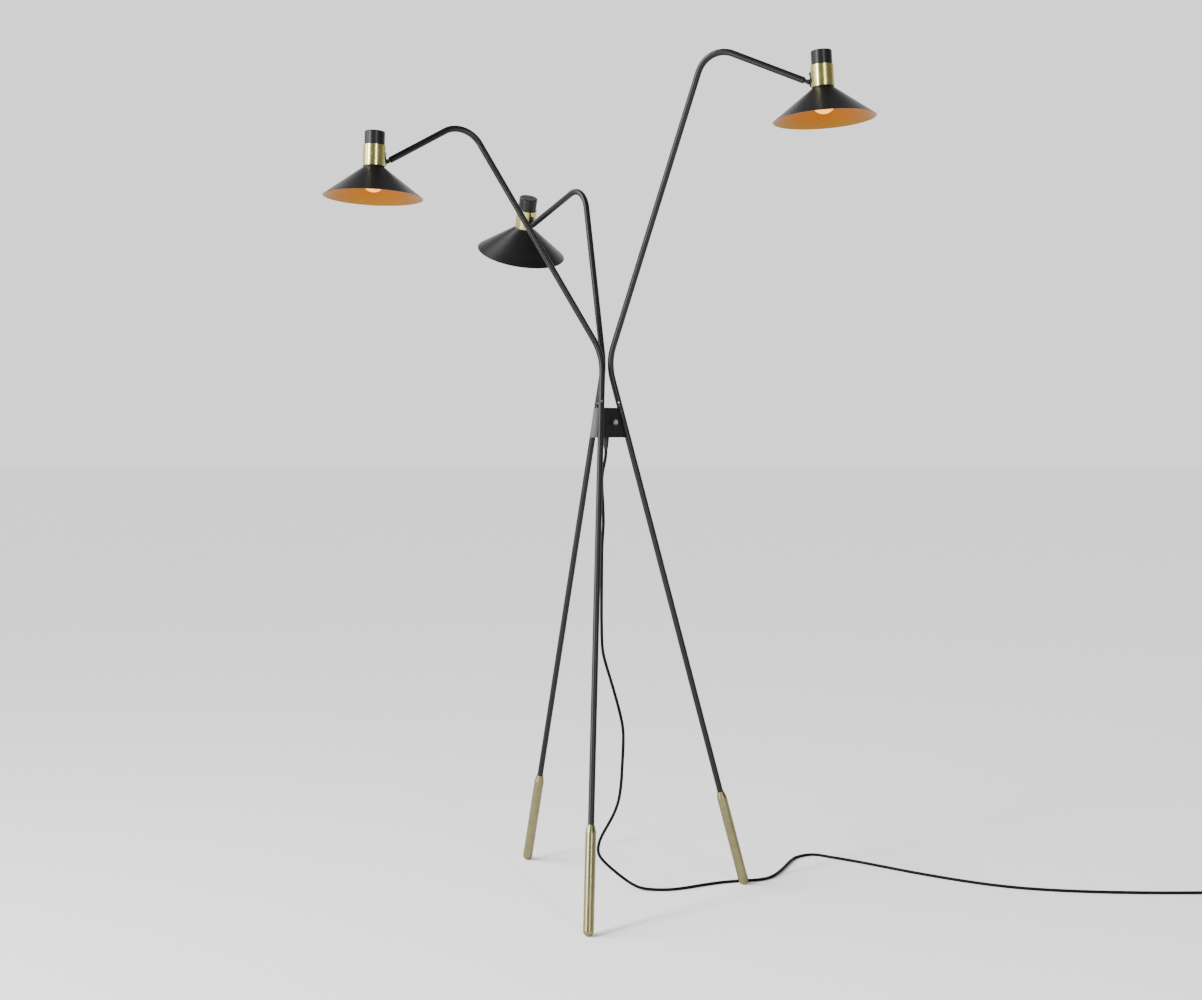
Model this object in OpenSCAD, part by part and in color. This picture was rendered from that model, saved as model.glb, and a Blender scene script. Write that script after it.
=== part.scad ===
// Three-legged floor lamp. Three steel tubes lean together and cross above a wiring box. Each leg
// carries an arm that swivels on it, and each arm ends in a cone shade that rolls and tilts.
// Millimetres, +Z up, origin on the floor under the box.

/* [Tripod] */
// Distance from the upright axis to the ball of each foot
foot_radius = 282; // [270:1:300]
// Distance from the upright axis to each leg's line at the middle of the box
box_leg_radius = 37.65; // [36:0.05:40]
// Outer diameter of the leg and arm tubes
tube_d = 12; // [11:0.5:13]
// Wall of the leg and arm tubes
tube_wall = 1.5; // [1:0.1:1.8]
// Centreline radius of the knee bend above the box
knee_r = 110; // [80:5:130]
// Centreline radius of the bend at the top of each arm
top_r = 50; // [35:5:60]
// Angle of the top bend, degrees
top_bend = 93; // [85:1:100]

/* [Front leg and its arm] */
// Compass angle of the foot
front_foot_turn = -96.3; // [-100:0.1:-92]
// Distance by which the leg's line passes the upright axis
front_offset = 4.26; // [2:0.01:6]
// Run from the arm's joint on the leg to the knee's corner
front_knee_rise = 101.53; // [90:0.01:115]
// Turn of the arm's plane about the leg
front_arm_turn = -59.3; // [-62:0.1:-50]
// Angle of the knee bend
front_knee_bend = 35.5; // [32:0.1:38]
// Run from the knee's corner to the top corner
front_arm_run = 524.6; // [480:0.1:560]
// Run from the top corner to the arm's end
front_reach = 186.5; // [150:0.1:230]
// Roll of the shade about the arm's end
front_roll = -15; // [-40:0.5:40]
// Rise of the arm above square to the shade's axis
front_tilt = 31.9; // [0:0.1:45]

/* [Rear leg and its arm] */
// Compass angle of the foot
rear_foot_turn = 125.7; // [122:0.1:129]
// Distance by which the leg's line passes the upright axis
rear_offset = 1.71; // [0:0.01:3.5]
// Run from the arm's joint on the leg to the knee's corner
rear_knee_rise = 79.53; // [74:0.01:90]
// Turn of the arm's plane about the leg
rear_arm_turn = -4.2; // [-10:0.1:3]
// Angle of the knee bend
rear_knee_bend = 27.9; // [24:0.1:32]
// Run from the knee's corner to the top corner
rear_arm_run = 379.2; // [340:0.1:420]
// Run from the top corner to the arm's end
rear_reach = 209.9; // [160:0.1:240]
// Roll of the shade about the arm's end
rear_roll = -8.8; // [-40:0.1:40]
// Rise of the arm above square to the shade's axis
rear_tilt = 42.5; // [0:0.1:45]

/* [Right leg and its arm] */
// Compass angle of the foot
right_foot_turn = 9.3; // [5:0.1:13]
// Distance by which the leg's line passes the upright axis
right_offset = -1.28; // [-3:0.01:1]
// Run from the arm's joint on the leg to the knee's corner
right_knee_rise = 86.53; // [78:0.01:100]
// Turn of the arm's plane about the leg
right_arm_turn = -31.1; // [-36:0.1:-25]
// Angle of the knee bend
right_knee_bend = 33.9; // [30:0.1:38]
// Run from the knee's corner to the top corner
right_arm_run = 626; // [580:1:670]
// Run from the top corner to the arm's end
right_reach = 197.6; // [160:0.1:240]
// Roll of the shade about the arm's end
right_roll = -6.7; // [-40:0.1:40]
// Rise of the arm above square to the shade's axis
right_tilt = 26.8; // [0:0.1:45]

/* [Foot sleeves] */
// Diameter of the sleeve and of its ball end
foot_d = 20; // [18:1:24]
// Diameter of the flat that the ball stands on
foot_flat_d = 8; // [6:1:10]
// Height of the sleeve's top above the ball's centre, along the leg
sleeve_top = 187; // [140:1:220]
// Length of the taper at the top of the sleeve
sleeve_taper = 13; // [8:1:20]
// Solid end below the tube's seat, from the ball's centre
sleeve_solid = 40; // [20:1:60]
// Diameter of the sleeve's upper lip
sleeve_lip_d = 13.6; // [13.4:0.1:15]

/* [Wiring box] */
// Height of the middle of the box
box_mid = 927.5; // [920:0.5:932]
// Height of the box
box_h = 58; // [54:1:62]
// Thickness of the side plates
plate_t = 1.5; // [1:0.1:2]
// Thickness of the top and bottom covers
cover_t = 1.5; // [1:0.1:2]
// Diameter of the pillar between the covers
pillar_d = 7; // [6:0.5:7.5]
// Distance of the pillar from the upright axis, towards the rear leg
pillar_off = 17; // [16:0.5:18]
// Head diameter of the two cover screws
cover_head_d = 7; // [6:0.5:8]
// Length of the terminal block
block_len = 20; // [16:1:20]
// Depth of the terminal block
block_deep = 11; // [8:1:12]
// Height of the terminal block
block_high = 14; // [10:1:16]

/* [Push switch] */
// Diameter of the switch barrel
switch_d = 12; // [11:0.5:13]
// Length of the barrel inside the box
switch_depth = 18; // [14:1:20]
// Diameter of the ring around the button
bezel_d = 15.5; // [15:0.5:18]
// Diameter of the button
button_d = 9; // [8:0.5:9.5]
// Distance that the button stands out at rest
button_out = 4; // [3.5:0.5:6]
// Travel of the button
button_travel = 2.5; // [1.5:0.5:2.5]
// Shift of the switch towards the right leg
switch_shift = 4; // [0:0.5:6]

/* [Arm swivel] */
// Height of the swivel joint above the box's top
joint_rise = 5; // [4:0.5:8]
// Reach of the spigot into the leg and into the arm
spigot_reach = 28; // [20:1:30]
// Bore of the spigot
spigot_bore = 6; // [5.6:0.1:6.4]
// Diameter of the set screw
set_screw_d = 4; // [3:0.5:5]
// Height of the set screw above the joint
set_screw_rise = 6; // [5:0.5:12]
// Compass angle that the set screws face
screw_facing = -90; // [-110:5:-70]
// Diameter of the two-core lead inside each arm
lead_d = 5; // [4.4:0.1:5.2]

/* [Arm end] */
// Length of the bush pressed into the arm's end
bush_len = 22; // [16:1:28]
// Thickness of the bush's flange
bush_flange = 1.5; // [1:0.5:2.5]
// Diameter of the stem's shank inside the bush
shank_d = 6; // [5:0.5:6.5]
// Diameter of the stem's neck outside the bush
neck_d = 7; // [6:0.5:7.5]
// Thickness of the stem's retaining head inside the arm
stem_head_h = 2; // [1.5:0.5:3]
// Distance from the arm's end to the tilt pin
stem_len = 8; // [8:0.2:10]

/* [Tilt joint] */
// Distance from the shade's axis to the tilt pin
pin_off = 26.5; // [26:0.1:27.5]
// Height of the tilt pin above the collar's foot
pin_rise = 12; // [12:1:18]
// Diameter of the pin
pin_d = 3; // [2.5:0.1:3.4]
// Diameter of the eye and of the ears
ear_d = 8; // [7.2:0.2:8]
// Thickness of the stem's eye
eye_t = 4.2; // [3:0.1:5]
// Thickness of each ear
ear_t = 2.2; // [1.6:0.1:3]
// Height of the plate on the collar
pad_h = 28; // [26:1:32]
// Rise of the pad's middle above the tilt pin
pad_rise = 4; // [0:0.5:6]
// Width of that plate
pad_w = 11; // [10:0.5:12]
// Thickness of that plate
pad_t = 1.8; // [1.4:0.1:2.2]
// Distance of each plate screw from the pin's height
pad_screw_off = 9.8; // [9.4:0.1:10.3]
// Head diameter of the plate screws
pad_screw_head = 4.6; // [4:0.1:5]

/* [Shade] */
// Radius of the rim
rim_r = 93.5; // [80:0.5:110]
// Radius at the top of the cone
cone_top_r = 20; // [19:0.5:20.5]
// Height of the cone
cone_h = 56; // [52:1:60]
// Height of the short neck on the cone
shade_neck = 2; // [1.6:0.1:4]
// Sheet thickness of the shade
shade_t = 1.2; // [0.8:0.1:1.4]

/* [Collar and cap] */
// Outer radius of the collar
collar_r = 21; // [20.5:0.1:21.5]
// Length of the collar
collar_len = 38.5; // [36:0.5:42]
// Wall of the collar
collar_wall = 1.9; // [1.4:0.1:2.2]
// Height of the cap above the collar
cap_h = 26; // [20:1:32]
// Wall and roof of the cap
cap_wall = 1.8; // [1.2:0.1:2.4]
// Depth that the cap reaches into the collar
cap_seat = 10; // [6:1:11]
// Bevel around the cap's top edge
cap_bevel = 1; // [0.4:0.1:1.6]
// Diameter of the two vents in the cap's roof
vent_d = 2.6; // [2:0.1:4]
// Distance between the vents
vent_gap = 9.6; // [8:0.2:14]

/* [Lampholder and bulb] */
// Radius of the holder's threaded sleeve
holder_r = 13.8; // [13.6:0.1:14.2]
// Length of the sleeve below the shade's top
holder_sleeve = 5.6; // [5:0.1:6.5]
// Thickness of the flange
holder_flange = 2.5; // [2:0.1:3]
// Height of the holder above its flange
holder_body = 33; // [31:0.5:36]
// Outer radius of the ring nut under the shade's top
ring_r = 16.6; // [16:0.1:16.8]
// Height of the ring nut
ring_h = 4.4; // [3.6:0.1:4.5]
// Radius of the bulb's globe
globe_r = 22.5; // [21:0.1:23]
// Height of the bulb's contact above the shade's top
bulb_seat = 30; // [29:0.5:31]
// Thickness of the floor inside the collar
collar_floor = 1.2; // [0.8:0.1:1.4]
// Length of the bulb from its tip to the end of its thread
bulb_len = 78; // [77:0.5:79]
// Radius of the bulb's thread
thread_r = 6.95; // [6.5:0.05:7]
// Length of the bulb's thread
thread_len = 25; // [22:0.5:26]

/* [Mains cord] */
// Diameter of the cord
cord_d = 6; // [5.4:0.1:6.4]
// Length of the strain relief under the box
relief_len = 22; // [20:1:26]
// Place of the strain relief under the box, across
relief_x = 1.3; // [-2:0.1:4]
// Place of the strain relief under the box, front to back
relief_y = -6; // [-8:0.5:-4]
// Diameter of the strain relief at the box
relief_d = 12; // [11:0.5:13]
// Diameter of the strain relief where the cord comes out
relief_tip_d = 8; // [7.2:0.1:9]
// Mean radius of the coil
coil_r = 33; // [31:0.5:36]
// Number of turns in the coil
coil_turns = 3.25; // [3.25:1:5.25]
// Spacing of the turns and of the two layers
coil_pitch = 6.8; // [6.6:0.1:7.4]
// Width of the tie
tie_w = 8; // [6:1:12]
// Thickness of the tie
tie_t = 0.6; // [0.4:0.1:1]
// Width of the plug
plug_w = 35; // [33:0.5:37]
// Thickness of the plug
plug_t = 13.6; // [13:0.1:15]
// Length of the plug's body
plug_len = 26; // [22:1:32]
// Diameter of the plug's pins
prong_d = 4; // [3.8:0.1:4.8]
// Length of the plug's pins
prong_len = 19; // [17:0.5:20]
// Distance between the plug's pins
prong_gap = 18.6; // [17.5:0.1:19]

/* [Clearances] */
// Radial clearance of the pieces that turn or slide
fit_gap = 0.05; // [0.03:0.01:0.09]
// Gap between faces of pieces that move past each other
face_gap = 0.3; // [0.2:0.05:0.4]
// Gap around pieces pressed or screwed in place
seat_gap = 0.02; // [0.01:0.01:0.05]
// Gap around the covers of the box
cover_gap = 0.3; // [0.2:0.05:0.4]

/* [Hidden] */
$fn = 48;

foot_turn = [front_foot_turn, rear_foot_turn, right_foot_turn];
offset_at_box = [front_offset, rear_offset, right_offset];
knee_rise = [front_knee_rise, rear_knee_rise, right_knee_rise];
arm_turn = [front_arm_turn, rear_arm_turn, right_arm_turn];
knee_bend = [front_knee_bend, rear_knee_bend, right_knee_bend];
arm_run = [front_arm_run, rear_arm_run, right_arm_run];
reach = [front_reach, rear_reach, right_reach];
roll = [front_roll, rear_roll, right_roll];
tilt = [front_tilt, rear_tilt, right_tilt];

bore_d = tube_d - 2 * tube_wall;
ball_z = sqrt(foot_d * foot_d - foot_flat_d * foot_flat_d) / 2;
box_top = box_mid + box_h / 2;
box_bottom = box_mid - box_h / 2;
leg_lean = atan((foot_radius - box_leg_radius) / (box_mid - ball_z));
skew = [for (d = offset_at_box) asin(d / (foot_radius - box_leg_radius))];
joint_run = (box_top + joint_rise - ball_z) / cos(leg_lean);

// Places on the legs and along the arms
function leg_at(i, z) = let (a = foot_turn[i], b = a + skew[i], s = (z - ball_z) * tan(leg_lean))
    [foot_radius * cos(a) - s * cos(b), foot_radius * sin(a) - s * sin(b)];
function knee_start(i) = joint_run + knee_rise[i] - knee_r * tan(knee_bend[i] / 2);
function mid_len(i) = arm_run[i] - knee_r * tan(knee_bend[i] / 2) - top_r * tan(top_bend / 2);
function end_len(i) = reach[i] - top_r * tan(top_bend / 2);

module on_leg(i)
    rotate([0, 0, foot_turn[i]])
        translate([foot_radius, 0, ball_z])
            rotate([0, 0, skew[i]])
                rotate([0, -leg_lean, 0])
                    children();

module on_arm(i)
    on_leg(i)
        rotate([0, 0, arm_turn[i]])
            children();

// A bend from straight up towards +X
module elbow(r, a, d)
    translate([r, 0, 0])
        rotate([90, 0, 0])
            rotate([0, 0, 180 - a])
                rotate_extrude(angle = a)
                    translate([r, 0])
                        circle(d = d);

module past_bend(r, a)
    translate([r, 0, 0])
        rotate([0, a, 0])
            translate([-r, 0, 0])
                children();

module on_arm_end(i)
    on_arm(i)
        translate([0, 0, knee_start(i)])
            past_bend(knee_r, knee_bend[i])
                translate([0, 0, mid_len(i)])
                    past_bend(top_r, top_bend)
                        translate([0, 0, end_len(i)])
                            children();

// The arm's route as a round rod, from a place on the leg's line to a place short of its end. Each
// straight runs a little way into its bend, and the bend is thicker by the ease on every side.
bend_lap = 0.8;
bend_ease = 0.03;

module arm_rod(i, d, ease, start, short) {
    on_arm(i) {
        translate([0, 0, start])
            cylinder(h = knee_start(i) - start + bend_lap, d = d);
        translate([0, 0, knee_start(i)]) {
            elbow(knee_r, knee_bend[i], d + 2 * ease);
            past_bend(knee_r, knee_bend[i]) {
                translate([0, 0, -bend_lap])
                    cylinder(h = mid_len(i) + 2 * bend_lap, d = d);
                translate([0, 0, mid_len(i)]) {
                    elbow(top_r, top_bend, d + 2 * ease);
                    past_bend(top_r, top_bend)
                        translate([0, 0, -bend_lap])
                            cylinder(h = end_len(i) - short + bend_lap, d = d);
                }
            }
        }
    }
}

// Tripod
module foot(i)
    color("Goldenrod")
        difference() {
            on_leg(i)
                difference() {
                    union() {
                        sphere(d = foot_d);
                        cylinder(h = sleeve_top - sleeve_taper, d = foot_d);
                        translate([0, 0, sleeve_top - sleeve_taper])
                            cylinder(h = sleeve_taper, d1 = foot_d, d2 = sleeve_lip_d);
                    }
                    translate([0, 0, sleeve_solid])
                        cylinder(h = sleeve_top, d = tube_d + 2 * seat_gap);
                }
            translate([-2 * foot_radius, -2 * foot_radius, -foot_d])
                cube([4 * foot_radius, 4 * foot_radius, foot_d]);
        }

module leg(i)
    color("DimGray")
        on_leg(i)
            difference() {
                translate([0, 0, sleeve_solid])
                    cylinder(h = joint_run - face_gap / 2 - sleeve_solid, d = tube_d);
                translate([0, 0, sleeve_solid - 1])
                    cylinder(h = joint_run, d = bore_d);
            }

module foot_front() foot(0);
module foot_rear() foot(1);
module foot_right() foot(2);
module leg_front() leg(0);
module leg_rear() leg(1);
module leg_right() leg(2);

// Wiring box. Its three sides run from tube to tube.
function box_centre(z) =
    let (a = leg_at(0, z), b = leg_at(1, z), c = leg_at(2, z),
        la = norm(b - c), lb = norm(c - a), lc = norm(a - b))
    (la * a + lb * b + lc * c) / (la + lb + lc);
function box_inradius(z) =
    let (a = leg_at(0, z), b = leg_at(1, z), c = leg_at(2, z))
    abs(cross(b - a, c - a)) / (norm(b - c) + norm(c - a) + norm(a - b));
function box_corner(i, z, inset) =
    let (m = box_centre(z))
    m + (leg_at(i, z) - m) * (1 - inset / box_inradius(z));

module box_slice(z, inset)
    polygon([for (i = [0:2]) box_corner(i, z, inset)]);

module box_prism(low, high, inset)
    hull() {
        translate([0, 0, low])
            linear_extrude(0.01)
                box_slice(low, inset);
        translate([0, 0, high - 0.01])
            linear_extrude(0.01)
                box_slice(high, inset);
    }

module leg_rods(d)
    for (i = [0:2])
        on_leg(i)
            translate([0, 0, joint_run - 2 * box_h])
                cylinder(h = 2 * box_h, d = d);

// The side that holds the switch runs from the front leg to the right leg
function switch_side(z) = leg_at(2, z) - leg_at(0, z);
function switch_dist(z) = abs(cross(leg_at(0, z), leg_at(2, z))) / norm(switch_side(z));
switch_turn = atan2(-switch_side(box_mid)[0], switch_side(box_mid)[1]);
switch_lean = atan((switch_dist(box_bottom) - switch_dist(box_top)) / box_h);
switch_at = (leg_at(0, box_mid) + leg_at(2, box_mid)) / 2;
bezel_t = 2;

// +X is outward here, from the middle of the side plate
module on_switch()
    translate([switch_at[0], switch_at[1], box_mid])
        rotate([0, 0, switch_turn])
            translate([0, switch_shift, 0])
                rotate([0, -switch_lean, 0])
                    children();

module hub_plates()
    color("DimGray")
        difference() {
            box_prism(box_bottom, box_top, -plate_t / 2);
            box_prism(box_bottom - 1, box_top + 1, plate_t / 2);
            leg_rods(tube_d + 2 * seat_gap);
            on_switch()
                rotate([0, 90, 0])
                    cylinder(h = switch_d, d = switch_d + 2 * seat_gap, center = true);
            on_switch()
                rotate([0, 90, 0])
                    translate([0, 0, plate_t / 2])
                        cylinder(h = bezel_t, d = bezel_d + 1);
            on_switch()
                rotate([0, -90, 0])
                    translate([0, 0, plate_t / 2])
                        cylinder(h = bezel_t, d = bezel_d + 1);
        }

pillar_at = box_centre(box_mid) + pillar_off * [cos(rear_foot_turn), sin(rear_foot_turn)];
cover_screw_d = 3;
cover_screw_reach = 7;
cover_head_h = 1.6;

module cover_screw_hole()
    translate([pillar_at[0], pillar_at[1], box_bottom - box_h])
        cylinder(h = 3 * box_h, d = cover_screw_d + 2 * seat_gap);

module hub_top_cover()
    color("DimGray")
        difference() {
            translate([0, 0, box_top - cover_t])
                linear_extrude(cover_t)
                    box_slice(box_top, plate_t / 2 + cover_gap);
            leg_rods(tube_d + 2 * seat_gap);
            cover_screw_hole();
        }

relief_neck_d = relief_d - 2;
relief_flange_d = relief_d + 2;
relief_flange_t = 2.5;
relief_straight = 6;
relief_end = box_bottom - relief_len;

module hub_bottom_cover()
    color("DimGray")
        difference() {
            translate([0, 0, box_bottom])
                linear_extrude(cover_t)
                    box_slice(box_bottom + cover_t, plate_t / 2 + cover_gap);
            leg_rods(tube_d + 2 * seat_gap);
            cover_screw_hole();
            translate([relief_x, relief_y, box_bottom - 1])
                cylinder(h = cover_t + 2, d = relief_neck_d + 2 * seat_gap);
        }

module hub_pillar()
    color("Silver")
        translate([pillar_at[0], pillar_at[1], 0])
            difference() {
                translate([0, 0, box_bottom + cover_t])
                    cylinder(h = box_h - 2 * cover_t, d = pillar_d);
                translate([0, 0, box_bottom - 1])
                    cylinder(h = cover_screw_reach + cover_t + 2, d = cover_screw_d + 2 * seat_gap);
                translate([0, 0, box_top - cover_screw_reach - cover_t - 1])
                    cylinder(h = cover_screw_reach + cover_t + 2, d = cover_screw_d + 2 * seat_gap);
            }

// Head underside at zero, shank towards -Z
module screw(shank_d, shank_len, head_d, head_h, slot_w)
    difference() {
        union() {
            cylinder(h = head_h, d = head_d);
            translate([0, 0, -shank_len])
                cylinder(h = shank_len, d = shank_d);
        }
        translate([-head_d, -slot_w / 2, head_h / 2])
            cube([2 * head_d, slot_w, head_h]);
    }

module cover_screws()
    color("Silver")
        translate([pillar_at[0], pillar_at[1], 0]) {
            translate([0, 0, box_top])
                screw(cover_screw_d, cover_screw_reach + cover_t, cover_head_d, cover_head_h, 1);
            translate([0, 0, box_bottom])
                mirror([0, 0, 1])
                    screw(cover_screw_d, cover_screw_reach + cover_t, cover_head_d, cover_head_h, 1);
        }

block_turn = (rear_foot_turn + right_foot_turn) / 2;
block_off = 12.5;
block_shift = -3;
block_wire_d = 4;
block_screw_d = 3;

module terminal_block()
    color("White")
        rotate([0, 0, block_turn])
            translate([block_off, block_shift, box_bottom + cover_t])
                difference() {
                    translate([-block_deep / 2, -block_len / 2, 0])
                        cube([block_deep, block_len, block_high]);
                    for (s = [-1, 1])
                        translate([0, s * block_len / 4, 0]) {
                            translate([-block_deep, 0, block_high / 2])
                                rotate([0, 90, 0])
                                    cylinder(h = 2 * block_deep, d = block_wire_d);
                            translate([0, 0, block_high / 2])
                                cylinder(h = block_high, d = block_screw_d);
                        }
                }

button_guide = 8;
button_len = plate_t / 2 + bezel_t + button_out + button_guide;
switch_flange_d = switch_d + 2;
switch_flange_t = 2;

module switch_body()
    color("Black")
        on_switch()
            rotate([0, 90, 0])
                difference() {
                    union() {
                        translate([0, 0, -plate_t / 2 - switch_depth])
                            cylinder(h = switch_depth + plate_t + bezel_t, d = switch_d);
                        translate([0, 0, -plate_t / 2 - switch_flange_t])
                            cylinder(h = switch_flange_t, d = switch_flange_d);
                    }
                    translate([0, 0, -button_guide - button_travel - face_gap])
                        cylinder(h = 2 * switch_depth, d = button_d + 2 * fit_gap);
                }

module switch_bezel()
    color("Gray")
        on_switch()
            rotate([0, 90, 0])
                translate([0, 0, plate_t / 2])
                    difference() {
                        cylinder(h = bezel_t, d = bezel_d);
                        translate([0, 0, -1])
                            cylinder(h = bezel_t + 2, d = switch_d + 2 * seat_gap);
                    }

module switch_button()
    color("Gray")
        on_switch()
            rotate([0, 90, 0])
                translate([0, 0, -button_guide])
                    cylinder(h = button_len, d = button_d);

module strain_relief()
    color("Black")
        translate([relief_x, relief_y, box_bottom]) {
            translate([0, 0, cover_t])
                cylinder(h = relief_flange_t, d = relief_flange_d);
            cylinder(h = cover_t, d = relief_neck_d);
            translate([0, 0, -relief_straight])
                cylinder(h = relief_straight, d = relief_d);
            translate([0, 0, -relief_len])
                cylinder(h = relief_len - relief_straight, d1 = relief_tip_d, d2 = relief_d - 0.5);
        }

// Arms
module swivel_spigots()
    color("Silver")
        for (i = [0:2])
            on_leg(i)
                translate([0, 0, joint_run])
                    difference() {
                        union() {
                            translate([0, 0, -spigot_reach])
                                cylinder(h = spigot_reach, d = bore_d - 2 * seat_gap);
                            cylinder(h = spigot_reach, d = bore_d - 2 * fit_gap);
                        }
                        translate([0, 0, -spigot_reach - 1])
                            cylinder(h = 2 * spigot_reach + 2, d = spigot_bore);
                    }

// +Z points out of the arm's wall here, from the leg's line
module on_set_screw(i)
    on_arm(i)
        translate([0, 0, joint_run + set_screw_rise])
            rotate([0, 0, screw_facing - foot_turn[i] - skew[i] - arm_turn[i]])
                rotate([0, 90, 0])
                    children();

module arm(i)
    color("DimGray")
        difference() {
            arm_rod(i, tube_d, bend_ease, joint_run + face_gap / 2, bush_flange);
            arm_rod(i, bore_d, -bend_ease, joint_run - 1, bush_flange - 1);
            on_set_screw(i)
                cylinder(h = tube_d, d = set_screw_d + 2 * seat_gap);
        }

set_screw_in = bore_d / 2 + 0.25;
set_screw_out = tube_d / 2 + 1;

module set_screw(i)
    color("Silver")
        on_set_screw(i)
            difference() {
                translate([0, 0, set_screw_in])
                    cylinder(h = set_screw_out - set_screw_in, d = set_screw_d);
                translate([-set_screw_d, -0.4, set_screw_out - 0.6])
                    cube([2 * set_screw_d, 0.8, 1]);
            }

module arm_bush(i)
    color("Black")
        on_arm_end(i)
            difference() {
                union() {
                    translate([0, 0, -bush_flange])
                        cylinder(h = bush_flange, d = tube_d);
                    translate([0, 0, -bush_flange - bush_len])
                        cylinder(h = bush_len, d = bore_d - 2 * seat_gap);
                }
                translate([0, 0, -bush_flange - bush_len - 1])
                    cylinder(h = bush_len + bush_flange + 2, d = shank_d + 2 * fit_gap);
            }

stem_head_d = bore_d - 0.8;
stem_back = bush_flange + bush_len + face_gap + stem_head_h;
lead_short = stem_back + 1;
grommet_h = 4;

// Two-core lead with a grommet at each end of the arm
module arm_lead(i)
    color("Black") {
        arm_rod(i, lead_d, bend_ease, joint_run - spigot_reach - grommet_h, lead_short);
        on_arm(i)
            translate([0, 0, joint_run + spigot_reach + 1])
                cylinder(h = grommet_h, d = bore_d - 2 * seat_gap);
        on_arm_end(i)
            translate([0, 0, -lead_short - grommet_h])
                cylinder(h = grommet_h, d = bore_d - 2 * seat_gap);
    }

module arm_front() arm(0);
module arm_rear() arm(1);
module arm_right() arm(2);
module set_screw_front() set_screw(0);
module set_screw_rear() set_screw(1);
module set_screw_right() set_screw(2);
module arm_bush_front() arm_bush(0);
module arm_bush_rear() arm_bush(1);
module arm_bush_right() arm_bush(2);
module arm_lead_front() arm_lead(0);
module arm_lead_rear() arm_lead(1);
module arm_lead_right() arm_lead(2);

// Stem that rolls in the arm's end and carries the tilt joint's eye
eye_r = pin_off - collar_r - pad_t - face_gap;

module on_stem(i)
    on_arm_end(i)
        rotate([0, 0, roll[i]])
            children();

module stem(i)
    color("Black")
        on_stem(i)
            difference() {
                union() {
                    translate([0, 0, -stem_back])
                        cylinder(h = stem_head_h, d = stem_head_d);
                    translate([0, 0, -stem_back])
                        cylinder(h = stem_back + face_gap, d = shank_d);
                    translate([0, 0, face_gap])
                        cylinder(h = stem_len - ear_d / 2 - 2 * face_gap, d = neck_d);
                    translate([-eye_r, -eye_t / 2, stem_len - ear_d / 2 - 1])
                        cube([2 * eye_r, eye_t, ear_d / 2 + 1]);
                    translate([0, eye_t / 2, stem_len])
                        rotate([90, 0, 0])
                            cylinder(h = eye_t, r = eye_r);
                }
                translate([0, eye_t, stem_len])
                    rotate([90, 0, 0])
                        cylinder(h = 2 * eye_t, d = pin_d + 2 * fit_gap);
            }

module stem_front() stem(0);
module stem_rear() stem(1);
module stem_right() stem(2);

// Heads. Zero is the middle of the rim, +Z runs to the cap and +X to the arm.
shade_top = cone_h + shade_neck;
pin_h = shade_top + pin_rise;

module on_head(i)
    on_stem(i)
        translate([0, 0, stem_len])
            rotate([0, -90 - tilt[i], 0])
                rotate([0, 0, 180])
                    translate([-pin_off, 0, -pin_h])
                        children();

cone_slope = (rim_r - cone_top_r) / cone_h;
cone_inset = shade_t * sqrt(1 + cone_slope * cone_slope);
holder_hole_r = holder_r + 0.4;

module shade(i)
    color("DimGray")
        on_head(i)
            rotate_extrude()
                polygon([
                    [rim_r, 0],
                    [cone_top_r, cone_h],
                    [cone_top_r, shade_top],
                    [holder_hole_r, shade_top],
                    [holder_hole_r, shade_top - shade_t],
                    [rim_r - cone_inset - (shade_top - shade_t) * cone_slope, shade_top - shade_t],
                    [rim_r - cone_inset, 0]
                ]);

collar_bore_r = collar_r - collar_wall;
pad_mid = pin_h + pad_rise;
pad_screw_d = 3;
pad_screw_in = collar_bore_r - 1.1;

// +Z points outward here, at the middle of each plate screw
module on_pad_screws()
    for (s = [-1, 1])
        translate([0, 0, pad_mid + s * pad_screw_off])
            rotate([0, 90, 0])
                children();

module pad_screw_holes()
    on_pad_screws()
        cylinder(h = 2 * collar_r, d = pad_screw_d + 2 * seat_gap);

module collar(i)
    color("Goldenrod")
        on_head(i)
            difference() {
                translate([0, 0, shade_top])
                    cylinder(h = collar_len, r = collar_r);
                translate([0, 0, shade_top + collar_floor])
                    cylinder(h = collar_len, r = collar_bore_r);
                translate([0, 0, shade_top - 1])
                    cylinder(h = collar_len, r = holder_hole_r);
                pad_screw_holes();
            }

cap_r = collar_bore_r - seat_gap;
cap_foot = shade_top + collar_len - cap_seat;
cap_top = shade_top + collar_len + cap_h;

module cap(i)
    color("DimGray")
        on_head(i)
            difference() {
                rotate_extrude()
                    polygon([
                        [cap_r, cap_foot],
                        [cap_r, cap_top - cap_bevel],
                        [cap_r - cap_bevel, cap_top],
                        [0, cap_top],
                        [0, cap_top - cap_wall],
                        [cap_r - cap_wall, cap_top - cap_wall],
                        [cap_r - cap_wall, cap_foot]
                    ]);
                for (s = [-1, 1])
                    translate([0, s * vent_gap / 2, cap_top - 2 * cap_wall])
                        cylinder(h = 3 * cap_wall, d = vent_d);
            }

holder_foot = shade_top + collar_floor;
holder_flange_r = collar_bore_r - 1.6;
holder_body_r = holder_r + 0.7;
holder_cup_r = holder_r - 1.2;
bulb_end = shade_top + bulb_seat;

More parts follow.
